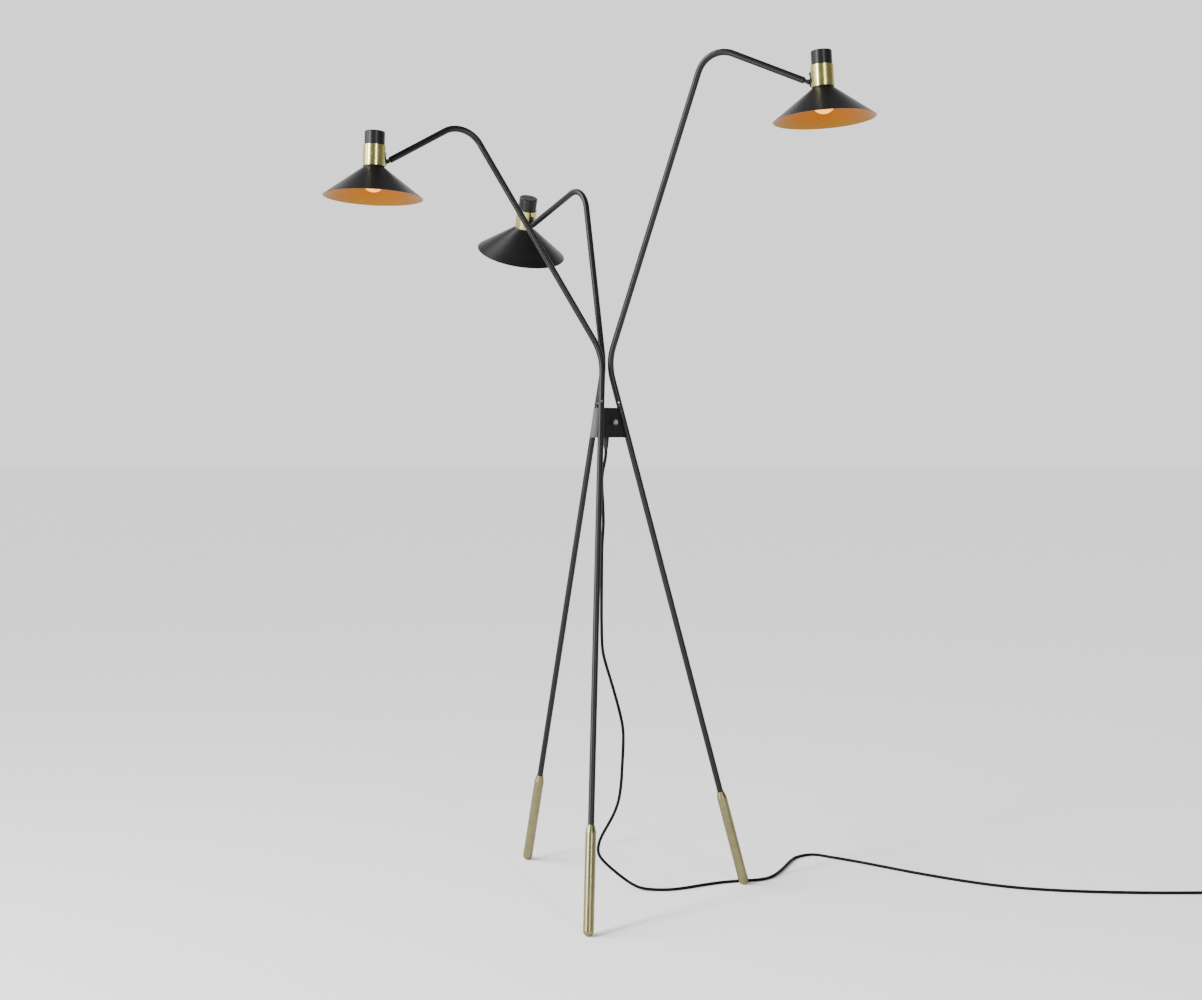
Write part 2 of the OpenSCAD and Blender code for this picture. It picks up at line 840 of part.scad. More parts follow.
module lampholder(i)
    color("White")
        on_head(i)
            difference() {
                union() {
                    translate([0, 0, shade_top - holder_sleeve])
                        cylinder(h = holder_sleeve + collar_floor, r = holder_r);
                    translate([0, 0, holder_foot])
                        cylinder(h = holder_flange, r = holder_flange_r);
                    translate([0, 0, holder_foot])
                        cylinder(h = holder_flange + holder_body, r = holder_body_r);
                }
                translate([0, 0, shade_top - holder_sleeve - 1])
                    cylinder(h = bulb_seat + holder_sleeve + 1, r = thread_r + seat_gap);
                translate([0, 0, shade_top - holder_sleeve - 1])
                    cylinder(h = bulb_seat - thread_len + holder_sleeve + 1, r = holder_cup_r);
            }

module shade_ring(i)
    color("White")
        on_head(i)
            translate([0, 0, shade_top - shade_t - ring_h])
                difference() {
                    cylinder(h = ring_h, r = ring_r);
                    translate([0, 0, -1])
                        cylinder(h = ring_h + 2, r = holder_r + seat_gap);
                }

globe_z = bulb_end - bulb_len + globe_r;
neck_polar = 40;
bulb_neck_r = 9.5;
bulb_base_len = 34;
bulb_neck_z = bulb_end - bulb_base_len;
bulb_base_r = 7.6;

module bulb(i)
    color("White")
        on_head(i)
            union() {
                translate([0, 0, globe_z])
                    sphere(r = globe_r);
                translate([0, 0, globe_z + globe_r * cos(neck_polar)])
                    cylinder(h = bulb_neck_z - globe_z - globe_r * cos(neck_polar),
                        r1 = globe_r * sin(neck_polar), r2 = bulb_neck_r);
                translate([0, 0, bulb_neck_z])
                    cylinder(h = bulb_end - thread_len - bulb_neck_z, r1 = bulb_neck_r, r2 = bulb_base_r);
                translate([0, 0, bulb_end - thread_len])
                    cylinder(h = thread_len, r = thread_r);
            }

// Plate on the collar with its two ears
ear_in = eye_t / 2 + fit_gap;

module tilt_bracket(i)
    color("Black")
        on_head(i)
            difference() {
                union() {
                    intersection() {
                        translate([0, 0, pin_h - pad_h])
                            cylinder(h = 2 * pad_h, r = collar_r + pad_t);
                        rotate([0, 90, 0])
                            union() {
                                translate([-pad_mid - pad_h / 2 + pad_w / 2, -pad_w / 2, 0])
                                    cube([pad_h - pad_w, pad_w, 2 * collar_r]);
                                for (s = [-1, 1])
                                    translate([-pad_mid + s * (pad_h - pad_w) / 2, 0, 0])
                                        cylinder(h = 2 * collar_r, d = pad_w);
                            }
                    }
                    for (s = [-1, 1])
                        translate([0, s * (ear_in + ear_t / 2) + ear_t / 2, pin_h])
                            rotate([90, 0, 0]) {
                                translate([pin_off, 0, 0])
                                    cylinder(h = ear_t, d = ear_d);
                                translate([collar_r - 1, -ear_d / 2, 0])
                                    cube([pin_off - collar_r + 1, ear_d, ear_t]);
                            }
                }
                translate([0, 0, pin_h - pad_h])
                    cylinder(h = 2 * pad_h, r = collar_r);
                translate([pin_off, ear_in + 2 * ear_t, pin_h])
                    rotate([90, 0, 0])
                        cylinder(h = 2 * ear_in + 4 * ear_t, d = pin_d + 2 * seat_gap);
                pad_screw_holes();
            }

pin_head_d = 5.5;
pin_head_t = 1.2;

module tilt_fixings(i)
    color("Goldenrod")
        on_head(i) {
            translate([pin_off, 0, pin_h])
                rotate([90, 0, 0]) {
                    translate([0, 0, -ear_in - ear_t])
                        cylinder(h = 2 * (ear_in + ear_t), d = pin_d);
                    for (s = [0, 1])
                        mirror([0, 0, s])
                            translate([0, 0, ear_in + ear_t])
                                cylinder(h = pin_head_t, d = pin_head_d);
                }
            on_pad_screws()
                translate([0, 0, collar_r + pad_t])
                    screw(pad_screw_d, collar_r + pad_t - pad_screw_in, pad_screw_head, 1.2, 0.8);
        }

module shade_front() shade(0);
module shade_rear() shade(1);
module shade_right() shade(2);
module collar_front() collar(0);
module collar_rear() collar(1);
module collar_right() collar(2);
module cap_front() cap(0);
module cap_rear() cap(1);
module cap_right() cap(2);
module lampholder_front() lampholder(0);
module lampholder_rear() lampholder(1);
module lampholder_right() lampholder(2);
module shade_ring_front() shade_ring(0);
module shade_ring_rear() shade_ring(1);
module shade_ring_right() shade_ring(2);
module bulb_front() bulb(0);
module bulb_rear() bulb(1);
module bulb_right() bulb(2);
module tilt_bracket_front() tilt_bracket(0);
module tilt_bracket_rear() tilt_bracket(1);
module tilt_bracket_right() tilt_bracket(2);
module tilt_fixings_front() tilt_fixings(0);
module tilt_fixings_rear() tilt_fixings(1);
module tilt_fixings_right() tilt_fixings(2);

// Mains cord. It hangs behind the front leg, wanders over the floor and ends in a tied coil.
coil_at = [1250, 14];
coil_low = cord_d / 2 + tie_t + face_gap;
coil_half = coil_turns / 2;
coil_min = coil_r - coil_pitch * coil_half / 2;
function coil_radius(s) = coil_min + coil_pitch * sqrt(pow(s - coil_half, 2) + 0.02);
function ease(t) = t <= 0 ? 0 : t >= 1 ? 1 : t * t * (3 - 2 * t);
function coil_height(s) = coil_low + coil_pitch * ease((s - coil_half) * 2 + 0.5);
coil_start = [coil_at[0] - cord_d, coil_at[1] - coil_radius(0), coil_low];

route = [
    [relief_x, relief_y, relief_end],
    [relief_x, relief_y, relief_end - 2 * cord_d],
    [-2, -1, 845],
    [-7, 5, 815],
    [-3, 6, 740],
    [-6, 6, 690],
    [-7, 6, 620],
    [-7, 6, 500],
    [-1, 7, 459],
    [11, 8, 419],
    [33, 8, 339],
    [36, 8, 299],
    [34, 8, 255],
    [27, 8, 172],
    [-5, 8, 112],
    [-14, 8, 84],
    [-6, 7, 59],
    [50, 2, 14],
    [80, -1, 4],
    [112, -4, 3],
    [145, 2, 3],
    [195, 29, 3],
    [243, 51, 3],
    [288, 61, 3],
    [332, 76, 3],
    [365, 135, 3],
    [395, 212, 3],
    [416, 243, 3],
    [449, 258, 3],
    [484, 235, 3],
    [539, 197, 3],
    [620, 131, 3],
    [700, 73, 3],
    [789, 22, 3],
    [881, -6, 3],
    [976, -19, 3],
    [1060, -24, 3],
    [1140, coil_start[1], 3],
    coil_start - [12, 0, 0],
    coil_start
];

function unit(v) = v / norm(v);
function at(p, i) = p[max(0, min(len(p) - 1, i))];
function between(a, b, c, d, t) =
    0.5 * (2 * b + (c - a) * t + (2 * a - 5 * b + 4 * c - d) * t * t + (3 * b - a - 3 * c + d) * t * t * t);
function off_floor(q) = [q[0], q[1], max(q[2], cord_d / 2)];
function along(p, i, t) = off_floor(between(at(p, i - 1), p[i], p[i + 1], at(p, i + 2), t));
function heading(p, i) = unit(at(p, i + 1) - at(p, i - 1));
function square_to(n, t) = unit(n - (n * t) * t);

// A round tube of straight pieces through the points, with flat ends
module tube_along(p, d, sides) {
    last = len(p) - 1;
    sideways = [for (i = 0, n = square_to([0, 1, 0.01], heading(p, 0)); i <= last;
        i = i + 1, n = square_to(n, heading(p, min(i, last)))) n];
    rings = [for (i = [0:last]) let (t = heading(p, i), u = sideways[i], v = cross(t, u))
        for (k = [0:sides - 1]) p[i] + d / 2 * (cos(k * 360 / sides) * u + sin(k * 360 / sides) * v)];
    walls = [for (i = [0:last - 1]) for (k = [0:sides - 1])
        let (a = i * sides + k, b = i * sides + (k + 1) % sides)
        each [[a, a + sides, b], [b, a + sides, b + sides]]];
    ends = [for (k = [1:sides - 2]) each [[0, k, k + 1],
        [last * sides, last * sides + k + 1, last * sides + k]]];
    polyhedron(points = rings, faces = concat(walls, ends), convexity = 10);
}

cord_points = concat([route[0]],
    [for (i = [1:len(route) - 4]) each [route[i], along(route, i, 0.5)]],
    [route[len(route) - 3], route[len(route) - 2], route[len(route) - 1]]);

module mains_cord()
    color("Black")
        tube_along(cord_points, cord_d, 8);

loop_rings = 24;
tail_len = 40;
tail_x = coil_at[0] + coil_radius(coil_turns);
plug_z = plug_t / 2;
plug_y = coil_at[1] + cord_d + tail_len + cord_d;
coil_loops = [for (k = [0:coil_turns * loop_rings]) let (s = k / loop_rings, a = 360 * s - 90)
    [coil_at[0] + coil_radius(s) * cos(a), coil_at[1] + coil_radius(s) * sin(a), coil_height(s)]];
coil_tail = [for (k = [0:5]) let (t = k / 5)
    [tail_x, coil_at[1] + cord_d + tail_len * t,
        coil_height(coil_turns) + (plug_z - coil_height(coil_turns)) * ease(t)]];
coil_points = concat([coil_start], coil_loops, coil_tail, [[tail_x, plug_y, plug_z]]);
coil_gap = min([for (i = [0:len(coil_points) - 1]) for (j = [i + 8:1:len(coil_points) - 1])
    norm(coil_points[i] - coil_points[j])]) - cord_d;
function run(p, i) = norm(p[i + 1] - p[i]);
cord_length = sum_of([for (i = [0:len(cord_points) - 2]) run(cord_points, i)]);
coil_length = sum_of([for (i = [0:len(coil_points) - 2]) run(coil_points, i)]);
function sum_of(v) = v * [for (i = [1:len(v)]) 1];
echo(least_gap_in_coil = coil_gap);
echo(cord_and_coil_length = cord_length + coil_length);

module cord_coil()
    color("Black")
        tube_along(coil_points, cord_d, 6);

// The tie goes round the coil's far side
tie_slack = face_gap + tie_w * tie_w / 8 / coil_min;
tie_in = coil_radius(coil_half) - cord_d / 2 - tie_slack;
tie_out = coil_radius(coil_turns - 0.5) + cord_d / 2 + face_gap;
tie_top = coil_low + coil_pitch + cord_d / 2 + face_gap;
tie_round = 2.5;

module tie_slice(grow)
    translate([tie_in - grow, tie_t - grow])
        square([tie_out - tie_in + 2 * grow, tie_top - tie_t + 2 * grow]);

module cord_tie()
    color("Black")
        translate([coil_at[0], coil_at[1], 0])
            rotate([0, 0, 180])
                translate([0, tie_w / 2, 0])
                    rotate([90, 0, 0])
                        linear_extrude(tie_w)
                            difference() {
                                tie_slice(tie_t);
                                tie_slice(0);
                            }

plug_neck = 22;
plug_round = 5;

module plug()
    color("Black")
        translate([tail_x, plug_y, plug_z])
            rotate([-90, 0, 0]) {
                cylinder(h = plug_neck, d1 = relief_tip_d, d2 = plug_t - 1);
                translate([0, 0, plug_neck]) {
                    translate([-plug_w / 2 + plug_round, -plug_t / 2, 0])
                        cube([plug_w - 2 * plug_round, plug_t, plug_len]);
                    translate([-plug_w / 2, -plug_t / 2 + plug_round, 0])
                        cube([plug_w, plug_t - 2 * plug_round, plug_len]);
                    for (a = [-1, 1], b = [-1, 1])
                        translate([a * (plug_w / 2 - plug_round), b * (plug_t / 2 - plug_round), 0])
                            cylinder(h = plug_len, r = plug_round);
                    for (a = [-1, 1])
                        translate([a * prong_gap / 2, 0, plug_len]) {
                            cylinder(h = prong_len - prong_d / 2, d = prong_d);
                            translate([0, 0, prong_len - prong_d / 2])
                                sphere(d = prong_d);
                        }
                }
            }

hub_plates();
hub_top_cover();
hub_bottom_cover();
hub_pillar();
cover_screws();
terminal_block();
switch_body();
switch_bezel();
switch_button();
swivel_spigots();
strain_relief();
mains_cord();
cord_coil();
cord_tie();
plug();
leg_front();
leg_rear();
leg_right();
foot_front();
foot_rear();
foot_right();
arm_front();
arm_rear();
arm_right();
arm_bush_front();
arm_bush_rear();
arm_bush_right();
arm_lead_front();
arm_lead_rear();
arm_lead_right();
set_screw_front();
set_screw_rear();
set_screw_right();
stem_front();
stem_rear();
stem_right();
shade_front();
shade_rear();
shade_right();
collar_front();
collar_rear();
collar_right();
cap_front();
cap_rear();
cap_right();
lampholder_front();
lampholder_rear();
lampholder_right();
shade_ring_front();
shade_ring_rear();
shade_ring_right();
bulb_front();
bulb_rear();
bulb_right();
tilt_bracket_front();
tilt_bracket_rear();
tilt_bracket_right();
tilt_fixings_front();
tilt_fixings_rear();
tilt_fixings_right();
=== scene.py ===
"""Looks of a three-legged floor lamp with three cone shades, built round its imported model.

The sizes of pieces are in millimetres and become metres when a mesh is made. Noise scales,
bump depths and the lights' places are in metres, and angles are in degrees.
"""

import logging
import math
from dataclasses import dataclass, field
from enum import Enum
from typing import Any, Iterable, Sequence

import bmesh
import bpy
from mathutils import Matrix, Vector


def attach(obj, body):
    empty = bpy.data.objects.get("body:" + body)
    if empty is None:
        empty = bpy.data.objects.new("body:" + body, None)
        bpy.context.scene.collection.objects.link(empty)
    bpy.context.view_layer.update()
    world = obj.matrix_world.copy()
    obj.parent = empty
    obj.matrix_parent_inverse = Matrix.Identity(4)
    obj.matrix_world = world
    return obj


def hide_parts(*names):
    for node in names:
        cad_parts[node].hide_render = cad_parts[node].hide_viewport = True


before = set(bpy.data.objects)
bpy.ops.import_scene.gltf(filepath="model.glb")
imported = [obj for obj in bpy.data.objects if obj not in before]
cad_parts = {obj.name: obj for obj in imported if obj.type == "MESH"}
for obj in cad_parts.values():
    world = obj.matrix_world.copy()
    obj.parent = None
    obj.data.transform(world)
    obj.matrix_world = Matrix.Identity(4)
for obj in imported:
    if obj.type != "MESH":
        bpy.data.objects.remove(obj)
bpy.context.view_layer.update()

LOG = logging.getLogger("lamp")
MM = 0.001
WELD = 0.0005
Point = tuple[float, float, float]
Colour = tuple[float, float, float]


class Sides(Enum):
    """The three legs, by the names that the nodes carry."""

    FRONT = "front"
    REAR = "rear"
    RIGHT = "right"


# Shader maths


class Wire:
    """A shader socket whose operators add Math nodes."""

    def __init__(self, graph: "Graph", socket: bpy.types.NodeSocket) -> None:
        """Holds the socket and the graph that it belongs to."""
        self.graph = graph
        self.socket = socket

    def _sum(self, operation: str, first: Any, second: Any, clamp: bool = False) -> "Wire":
        """Adds a Math node.

        Args:
            operation: The node's operation.
            first: Its first value or wire.
            second: Its second value or wire.
            clamp: Whether the result is held between 0 and 1.

        Returns:
            The node's result.
        """
        settings = {"operation": operation, "use_clamp": clamp}
        return self.graph.add("ShaderNodeMath", settings, {0: first, 1: second})

    def __add__(self, other: Any) -> "Wire":
        """Sum."""
        return self._sum("ADD", self, other)

    __radd__ = __add__

    def __sub__(self, other: Any) -> "Wire":
        """Difference."""
        return self._sum("SUBTRACT", self, other)

    def __rsub__(self, other: Any) -> "Wire":
        """Difference from a value on the left."""
        return self._sum("SUBTRACT", other, self)

    def __mul__(self, other: Any) -> "Wire":
        """Product."""
        return self._sum("MULTIPLY", self, other)

    __rmul__ = __mul__

    def held(self) -> "Wire":
        """The same value, held between 0 and 1."""
        return self._sum("ADD", self, 0.0, clamp=True)

    def eased(self) -> "Wire":
        """A smooth step from 0 to 1, as this value goes from 0 to 1."""
        return self * self * (3.0 - 2.0 * self)

    def past(self, level: float, gain: float) -> "Wire":
        """How far this value is past a level, times a gain, held between 0 and 1."""
        return ((self - level) * gain).held()


class Graph:
    """A tree of shader nodes."""

    def __init__(self, tree: bpy.types.NodeTree) -> None:
        """Holds the tree, emptied."""
        self.tree = tree
        self.tree.nodes.clear()

    def _feed(self, socket: bpy.types.NodeSocket, value: Any) -> None:
        """Links a wire to a socket, or sets the socket's own value.

        Args:
            socket: The socket.
            value: The wire or the value.
        """
        if isinstance(value, Wire):
            self.tree.links.new(value.socket, socket)
        else:
            socket.default_value = value

    def add(
        self,
        kind: str,
        settings: dict[str, Any] | None = None,
        inputs: dict[Any, Any] | None = None,
        output: int | str = 0,
    ) -> Wire:
        """Adds a node.

        Args:
            kind: The node's type.
            settings: Its own settings, set first.
            inputs: Values or wires for its sockets, by name or number.
            output: The output that is wanted.

        Returns:
            That output.
        """
        node = self.tree.nodes.new(kind)
        for name, value in (settings or {}).items():
            setattr(node, name, value)
        for name, value in (inputs or {}).items():
            self._feed(node.inputs[name], value)
        return Wire(self, node.outputs[output])

    def place(self, spot: Matrix | None = None, stretch: Point = (1.0, 1.0, 1.0)) -> Wire:
        """Object coordinates, turned to a piece's own frame.

        Args:
            spot: The frame, or None for the lamp's own.
            stretch: How much longer the pattern is along each axis.

        Returns:
            The coordinates in metres, over the stretch.
        """
        coords = self.add("ShaderNodeTexCoord", output="Object")
        spot = spot or Matrix.Identity(4)
        inputs = {
            "Vector": coords,
            "Location": spot.to_translation(),
            "Rotation": spot.to_euler(),
            "Scale": stretch,
        }
        return self.add("ShaderNodeMapping", {"vector_type": "TEXTURE"}, inputs)

    def along(self, at: Wire, axis: str) -> Wire:
        """One of the coordinates, by its letter."""
        return self.add("ShaderNodeSeparateXYZ", None, {0: at}, axis)

    @staticmethod
    def blend(first: Wire, second: Wire, share: float) -> Wire:
        """Two patterns laid together, with the first one's share."""
        return first * share + second * (1.0 - share)

    @staticmethod
    def around(middle: float, *swings: tuple[Wire, float]) -> Wire:
        """A value that swings about its middle.

        Args:
            middle: The value where every pattern is at half height.
            *swings: Each pattern, from 0 to 1, with the width of its swing.

        Returns:
            The value.
        """
        low = middle - sum(width for _, width in swings) / 2.0
        return sum((pattern * width for pattern, width in swings), low)

    def noise(self, at: Wire, scale: float, detail: float = 3.0, rough: float = 0.5) -> Wire:
        """Noise from 0 to 1.

        Args:
            at: The coordinates.
            scale: Waves to the metre.
            detail: Octaves of finer noise.
            rough: Weight of the finer octaves.

        Returns:
            The noise's height.
        """
        inputs = {"Vector": at, "Scale": scale, "Detail": detail, "Roughness": rough}
        return self.add("ShaderNodeTexNoise", None, inputs, "Fac")

    def mix(self, share: Any, first: Any, second: Any) -> Wire:
        """A colour between two.

        Args:
            share: Share of the second, from 0 to 1.
            first: The first colour.
            second: The second colour.

        Returns:
            The mixed colour.
        """
        settings = {"data_type": "RGBA", "clamp_factor": True}
        colours = [c if isinstance(c, Wire) else (*c, 1.0) for c in (first, second)]
        return self.add("ShaderNodeMix", settings, {0: share, 6: colours[0], 7: colours[1]}, 2)

    def bump(self, height: Wire, depth: float, strength: float) -> Wire:
        """A bumped normal.

        Args:
            height: The bump's height from 0 to 1.
            depth: Its depth in metres.
            strength: How strongly it shows.

        Returns:
            The normal.
        """
        inputs = {"Height": height, "Distance": depth, "Strength": strength}
        return self.add("ShaderNodeBump", None, inputs)


class Surface(Graph):
    """One material's nodes round a Principled shader."""

    def __init__(self, name: str) -> None:
        """Makes a material with its shader and output.

        Args:
            name: The material's name.
        """
        self.material = bpy.data.materials.new(name)
        self.material.use_nodes = True
        super().__init__(self.material.node_tree)
        self.shader = self.tree.nodes.new("ShaderNodeBsdfPrincipled")
        output = self.tree.nodes.new("ShaderNodeOutputMaterial")
        self.tree.links.new(self.shader.outputs["BSDF"], output.inputs["Surface"])

    def finish(self, **sockets: Any) -> bpy.types.Material:
        """Feeds the shader.

        Args:
            **sockets: Values or wires by socket name, with underscores for spaces.

        Returns:
            The finished material.
        """
        for name, value in sockets.items():
            self._feed(self.shader.inputs[name.replace("_", " ")], value)
        return self.material


# Finishes


@dataclass(frozen=True)
class PowderCoat:
    """Satin powder coat with a fine skin and a slight change of sheen."""

    colour: Colour = (0.0045, 0.0045, 0.0048)
    worn: Colour = (0.0085, 0.0085, 0.0095)
    roughness: float = 0.34
    shine: float = 0.22
    skin_scale: float = 1500.0
    skin_depth: float = 0.000012
    skin_strength: float = 0.35
    cloud_scale: float = 22.0
    cloud_share: float = 0.6
    cloud_swing: float = 0.08
    speck_scale: float = 420.0
    speck_swing: float = 0.04

    def make(self, name: str, spot: Matrix | None = None) -> bpy.types.Material:
        """Makes the material.

        Args:
            name: Its name.
            spot: The piece's own frame.

        Returns:
            The material.
        """
        graph = Surface(name)
        at = graph.place(spot)
        skin = graph.noise(at, self.skin_scale, detail=2.0)
        cloud = graph.noise(at, self.cloud_scale, detail=4.0)
        specks = graph.noise(at, self.speck_scale, detail=2.0)
        wear = graph.blend(cloud, specks, self.cloud_share)
        swings = (cloud, self.cloud_swing), (specks, self.speck_swing)
        return graph.finish(
            Base_Color=graph.mix(wear, self.colour, self.worn),
            Roughness=graph.around(self.roughness, *swings).held(),
            Normal=graph.bump(skin, self.skin_depth, self.skin_strength),
            Specular_IOR_Level=self.shine,
        )


@dataclass(frozen=True)
class TurnedBrass:
    """Brass with fine lines turned round its axis."""

    colour: Colour = (0.58, 0.52, 0.195)
    dark: Colour = (0.35, 0.312, 0.105)
    roughness: float = 0.21
    line_scale: float = 2600.0
    line_stretch: Point = (30.0, 30.0, 1.0)
    line_depth: float = 0.000015
    line_strength: float = 0.5
    line_share: float = 0.8
    line_swing: float = 0.1
    broad_scale: float = 260.0
    broad_stretch: Point = (6.0, 6.0, 1.0)
    tarnish: float = 0.35
    stain_scale: float = 45.0
    stain_level: float = 0.42
    stain_gain: float = 3.0
    stain_share: float = 0.6
    stain_swing: float = 0.25

    def make(self, name: str, spot: Matrix) -> bpy.types.Material:
        """Makes the material.

        Args:
            name: Its name.
            spot: The piece's own frame, +Z along the turning axis.

        Returns:
            The material.
        """
        graph = Surface(name)
        lines = graph.noise(graph.place(spot, self.line_stretch), self.line_scale, rough=0.65)
        broad = graph.noise(graph.place(spot, self.broad_stretch), self.broad_scale)
        cloud = graph.noise(graph.place(spot), self.stain_scale, detail=4.0)
        stain = cloud.past(self.stain_level, self.stain_gain) * self.tarnish
        shade = graph.blend(lines, broad, 0.5) * self.line_share + stain * self.stain_share
        sheen = graph.around(self.roughness, (lines, self.line_swing)) + stain * self.stain_swing
        return graph.finish(
            Base_Color=graph.mix(shade.held(), self.colour, self.dark),
            Metallic=1.0,
            Roughness=sheen.held(),
            Normal=graph.bump(lines, self.line_depth, self.line_strength),
        )


@dataclass(frozen=True)
class GoldLining:
    """Gold-coloured metal inside a shade, drawn into fine rings by the spinning tool. Towards the
    rim it is painted a paler, yellower tone, which is painted light standing in for the bulb's
    warm glow fading there.
    """

    colour: Colour = (0.42, 0.13, 0.001)
    deep: Colour = (0.36, 0.105, 0.0005)
    painted_rim_light: Colour = (0.26, 0.155, 0.03)
    # Painted light: a paler, yellower tone over the lowest millimetres by the rim, with its
    # height and share, standing in for the bulb's warm light falling off
    painted_rim_light_high: float = 16.0
    painted_rim_light_share: float = 0.75
    roughness: float = 0.4
    ring_scale: float = 1500.0
    ring_stretch: Point = (14.0, 14.0, 1.0)
    ring_depth: float = 0.00002
    ring_strength: float = 0.4
    ring_share: float = 0.4
    ring_swing: float = 0.1
    cloud_scale: float = 30.0

    def make(self, name: str, spot: Matrix) -> bpy.types.Material:
        """Makes the material.

        Args:
            name: Its name.
            spot: The shade's own frame.

        Returns:
            The material.
        """
        graph = Surface(name)
        rings = graph.noise(graph.place(spot, self.ring_stretch), self.ring_scale, rough=0.6)
        at = graph.place(spot)
        cloud = graph.noise(at, self.cloud_scale)
        # Painted light: a mask that is 1 at the rim and fades to 0 higher up, which lays the
        # painted rim tone over the gold
        painted_rim_light_mask = (1.0 - graph.along(at, "Z") * (1.0 / (self.painted_rim_light_high * MM))).held()
        pattern = graph.blend(rings, cloud, self.ring_share)
        gold = graph.mix(pattern, self.colour, self.deep)
        return graph.finish(
            Base_Color=graph.mix(painted_rim_light_mask * self.painted_rim_light_share, gold, self.painted_rim_light),
            Metallic=1.0,
            Roughness=graph.around(self.roughness, (rings, self.ring_swing)).held(),
            Normal=graph.bump(rings, self.ring_depth, self.ring_strength),
        )


@dataclass(frozen=True)
class Moulded:
    """Moulded plastic with a fine spark-eroded skin."""

    colour: Colour
    roughness: float = 0.5
    shine: float = 0.5
    grain_scale: float = 1800.0
    grain_depth: float = 0.00002
    grain_strength: float = 0.5
    grain_swing: float = 0.12
    cloud_scale: float = 60.0
    cloud_share: float = 0.7
    cloud_swing: float = 0.04
    lighter: float = 1.25
    lift: float = 0.004

    def make(self, name: str, spot: Matrix | None = None) -> bpy.types.Material:
        """Makes the material.

        Args:
            name: Its name.
            spot: The piece's own frame.

        Returns:
            The material.
        """
        graph = Surface(name)
        at = graph.place(spot)
        grain = graph.noise(at, self.grain_scale, rough=0.6)
        cloud = graph.noise(at, self.cloud_scale)
        pale = tuple(min(1.0, c * self.lighter + self.lift) for c in self.colour)
        pattern = graph.blend(cloud, grain, self.cloud_share)
        swings = (grain, self.grain_swing), (cloud, self.cloud_swing)
        return graph.finish(
            Base_Color=graph.mix(pattern, self.colour, pale),
            Roughness=graph.around(self.roughness, *swings).held(),
            Specular_IOR_Level=self.shine,
            Normal=graph.bump(grain, self.grain_depth, self.grain_strength),
        )


@dataclass(frozen=True)
class TurnedSteel:
    """Plain turned steel, as on screws and spigots."""

    colour: Colour = (0.56, 0.55, 0.53)
    dark: Colour = (0.34, 0.33, 0.32)
    roughness: float = 0.3
    line_scale: float = 3000.0
    line_stretch: Point = (1.0, 1.0, 8.0)
    line_depth: float = 0.00001
    line_strength: float = 0.4
    line_swing: float = 0.16
    cloud_scale: float = 300.0

    def make(self, name: str, spot: Matrix | None = None) -> bpy.types.Material:
        """Makes the material.

        Args:
            name: Its name.
            spot: The piece's own frame.

        Returns:
            The material.
        """
        graph = Surface(name)
        lines = graph.noise(graph.place(spot, self.line_stretch), self.line_scale, rough=0.7)
        cloud = graph.noise(graph.place(spot), self.cloud_scale)
        return graph.finish(
            Base_Color=graph.mix(graph.blend(lines, cloud, 0.5), self.colour, self.dark),
            Metallic=1.0,
            Roughness=graph.around(self.roughness, (lines, self.line_swing)).held(),
            Normal=graph.bump(lines, self.line_depth, self.line_strength),
        )


@dataclass(frozen=True)
class OpalGlass:
    """Frosted bulb that glows warmly, a little paler at its crown, which is near the rim."""

    colour: Colour = (0.3, 0.15, 0.03)
    glow: Colour = (1.0, 0.34, 0.035)
    crown: Colour = (1.0, 0.38, 0.05)
    power: float = 2.8
    crown_high: float = 10.0
    crown_fade: float = 30.0
    roughness: float = 0.36
    shine: float = 0.15
    frost_scale: float = 900.0
    frost_depth: float = 0.00001
    frost_strength: float = 0.3
    frost_swing: float = 0.12

    def make(self, name: str, spot: Matrix) -> bpy.types.Material:
        """Makes the material.

        Args:
            name: Its name.
            spot: The bulb's own frame, zero at the rim's middle.

        Returns:
            The material.
        """
        graph = Surface(name)
        at = graph.place(spot)
        frost = graph.noise(at, self.frost_scale)
        above = graph.along(at, "Z") * (1.0 / MM) - self.crown_high
        crown = (1.0 - above * (1.0 / self.crown_fade)).held()
        return graph.finish(
            Base_Color=(*self.colour, 1.0),
            Roughness=graph.around(self.roughness, (frost, self.frost_swing)).held(),
            Emission_Color=graph.mix(crown, self.glow, self.crown),
            Emission_Strength=self.power,
            Specular_IOR_Level=self.shine,
            Normal=graph.bump(frost, self.frost_depth, self.frost_strength),
        )


@dataclass(frozen=True)
class Sheath:
    """Round flexible cord sheath, slightly scuffed."""

    colour: Colour = (0.004, 0.004, 0.0045)
    scuffed: Colour = (0.009, 0.009, 0.0095)
    roughness: float = 0.6
    shine: float = 0.05
    scuff_scale: float = 70.0
    scuff_level: float = 0.45
    scuff_gain: float = 3.0
    scuff_swing: float = 0.2
    grain_scale: float = 1400.0
    grain_depth: float = 0.00002
    grain_strength: float = 0.4

    def make(self, name: str) -> bpy.types.Material:
        """Makes the material.

        Args:
            name: Its name.

        Returns:
            The material.
        """
        graph = Surface(name)
        at = graph.place()
        scuffs = graph.noise(at, self.scuff_scale, detail=5.0, rough=0.7)
        grain = graph.noise(at, self.grain_scale, detail=2.0)
        scuffed = scuffs.past(self.scuff_level, self.scuff_gain)
        return graph.finish(
            Base_Color=graph.mix(scuffed, self.colour, self.scuffed),
            Roughness=graph.around(self.roughness, (scuffs, self.scuff_swing)).held(),
            Specular_IOR_Level=self.shine,
            Normal=graph.bump(grain, self.grain_depth, self.grain_strength),
        )


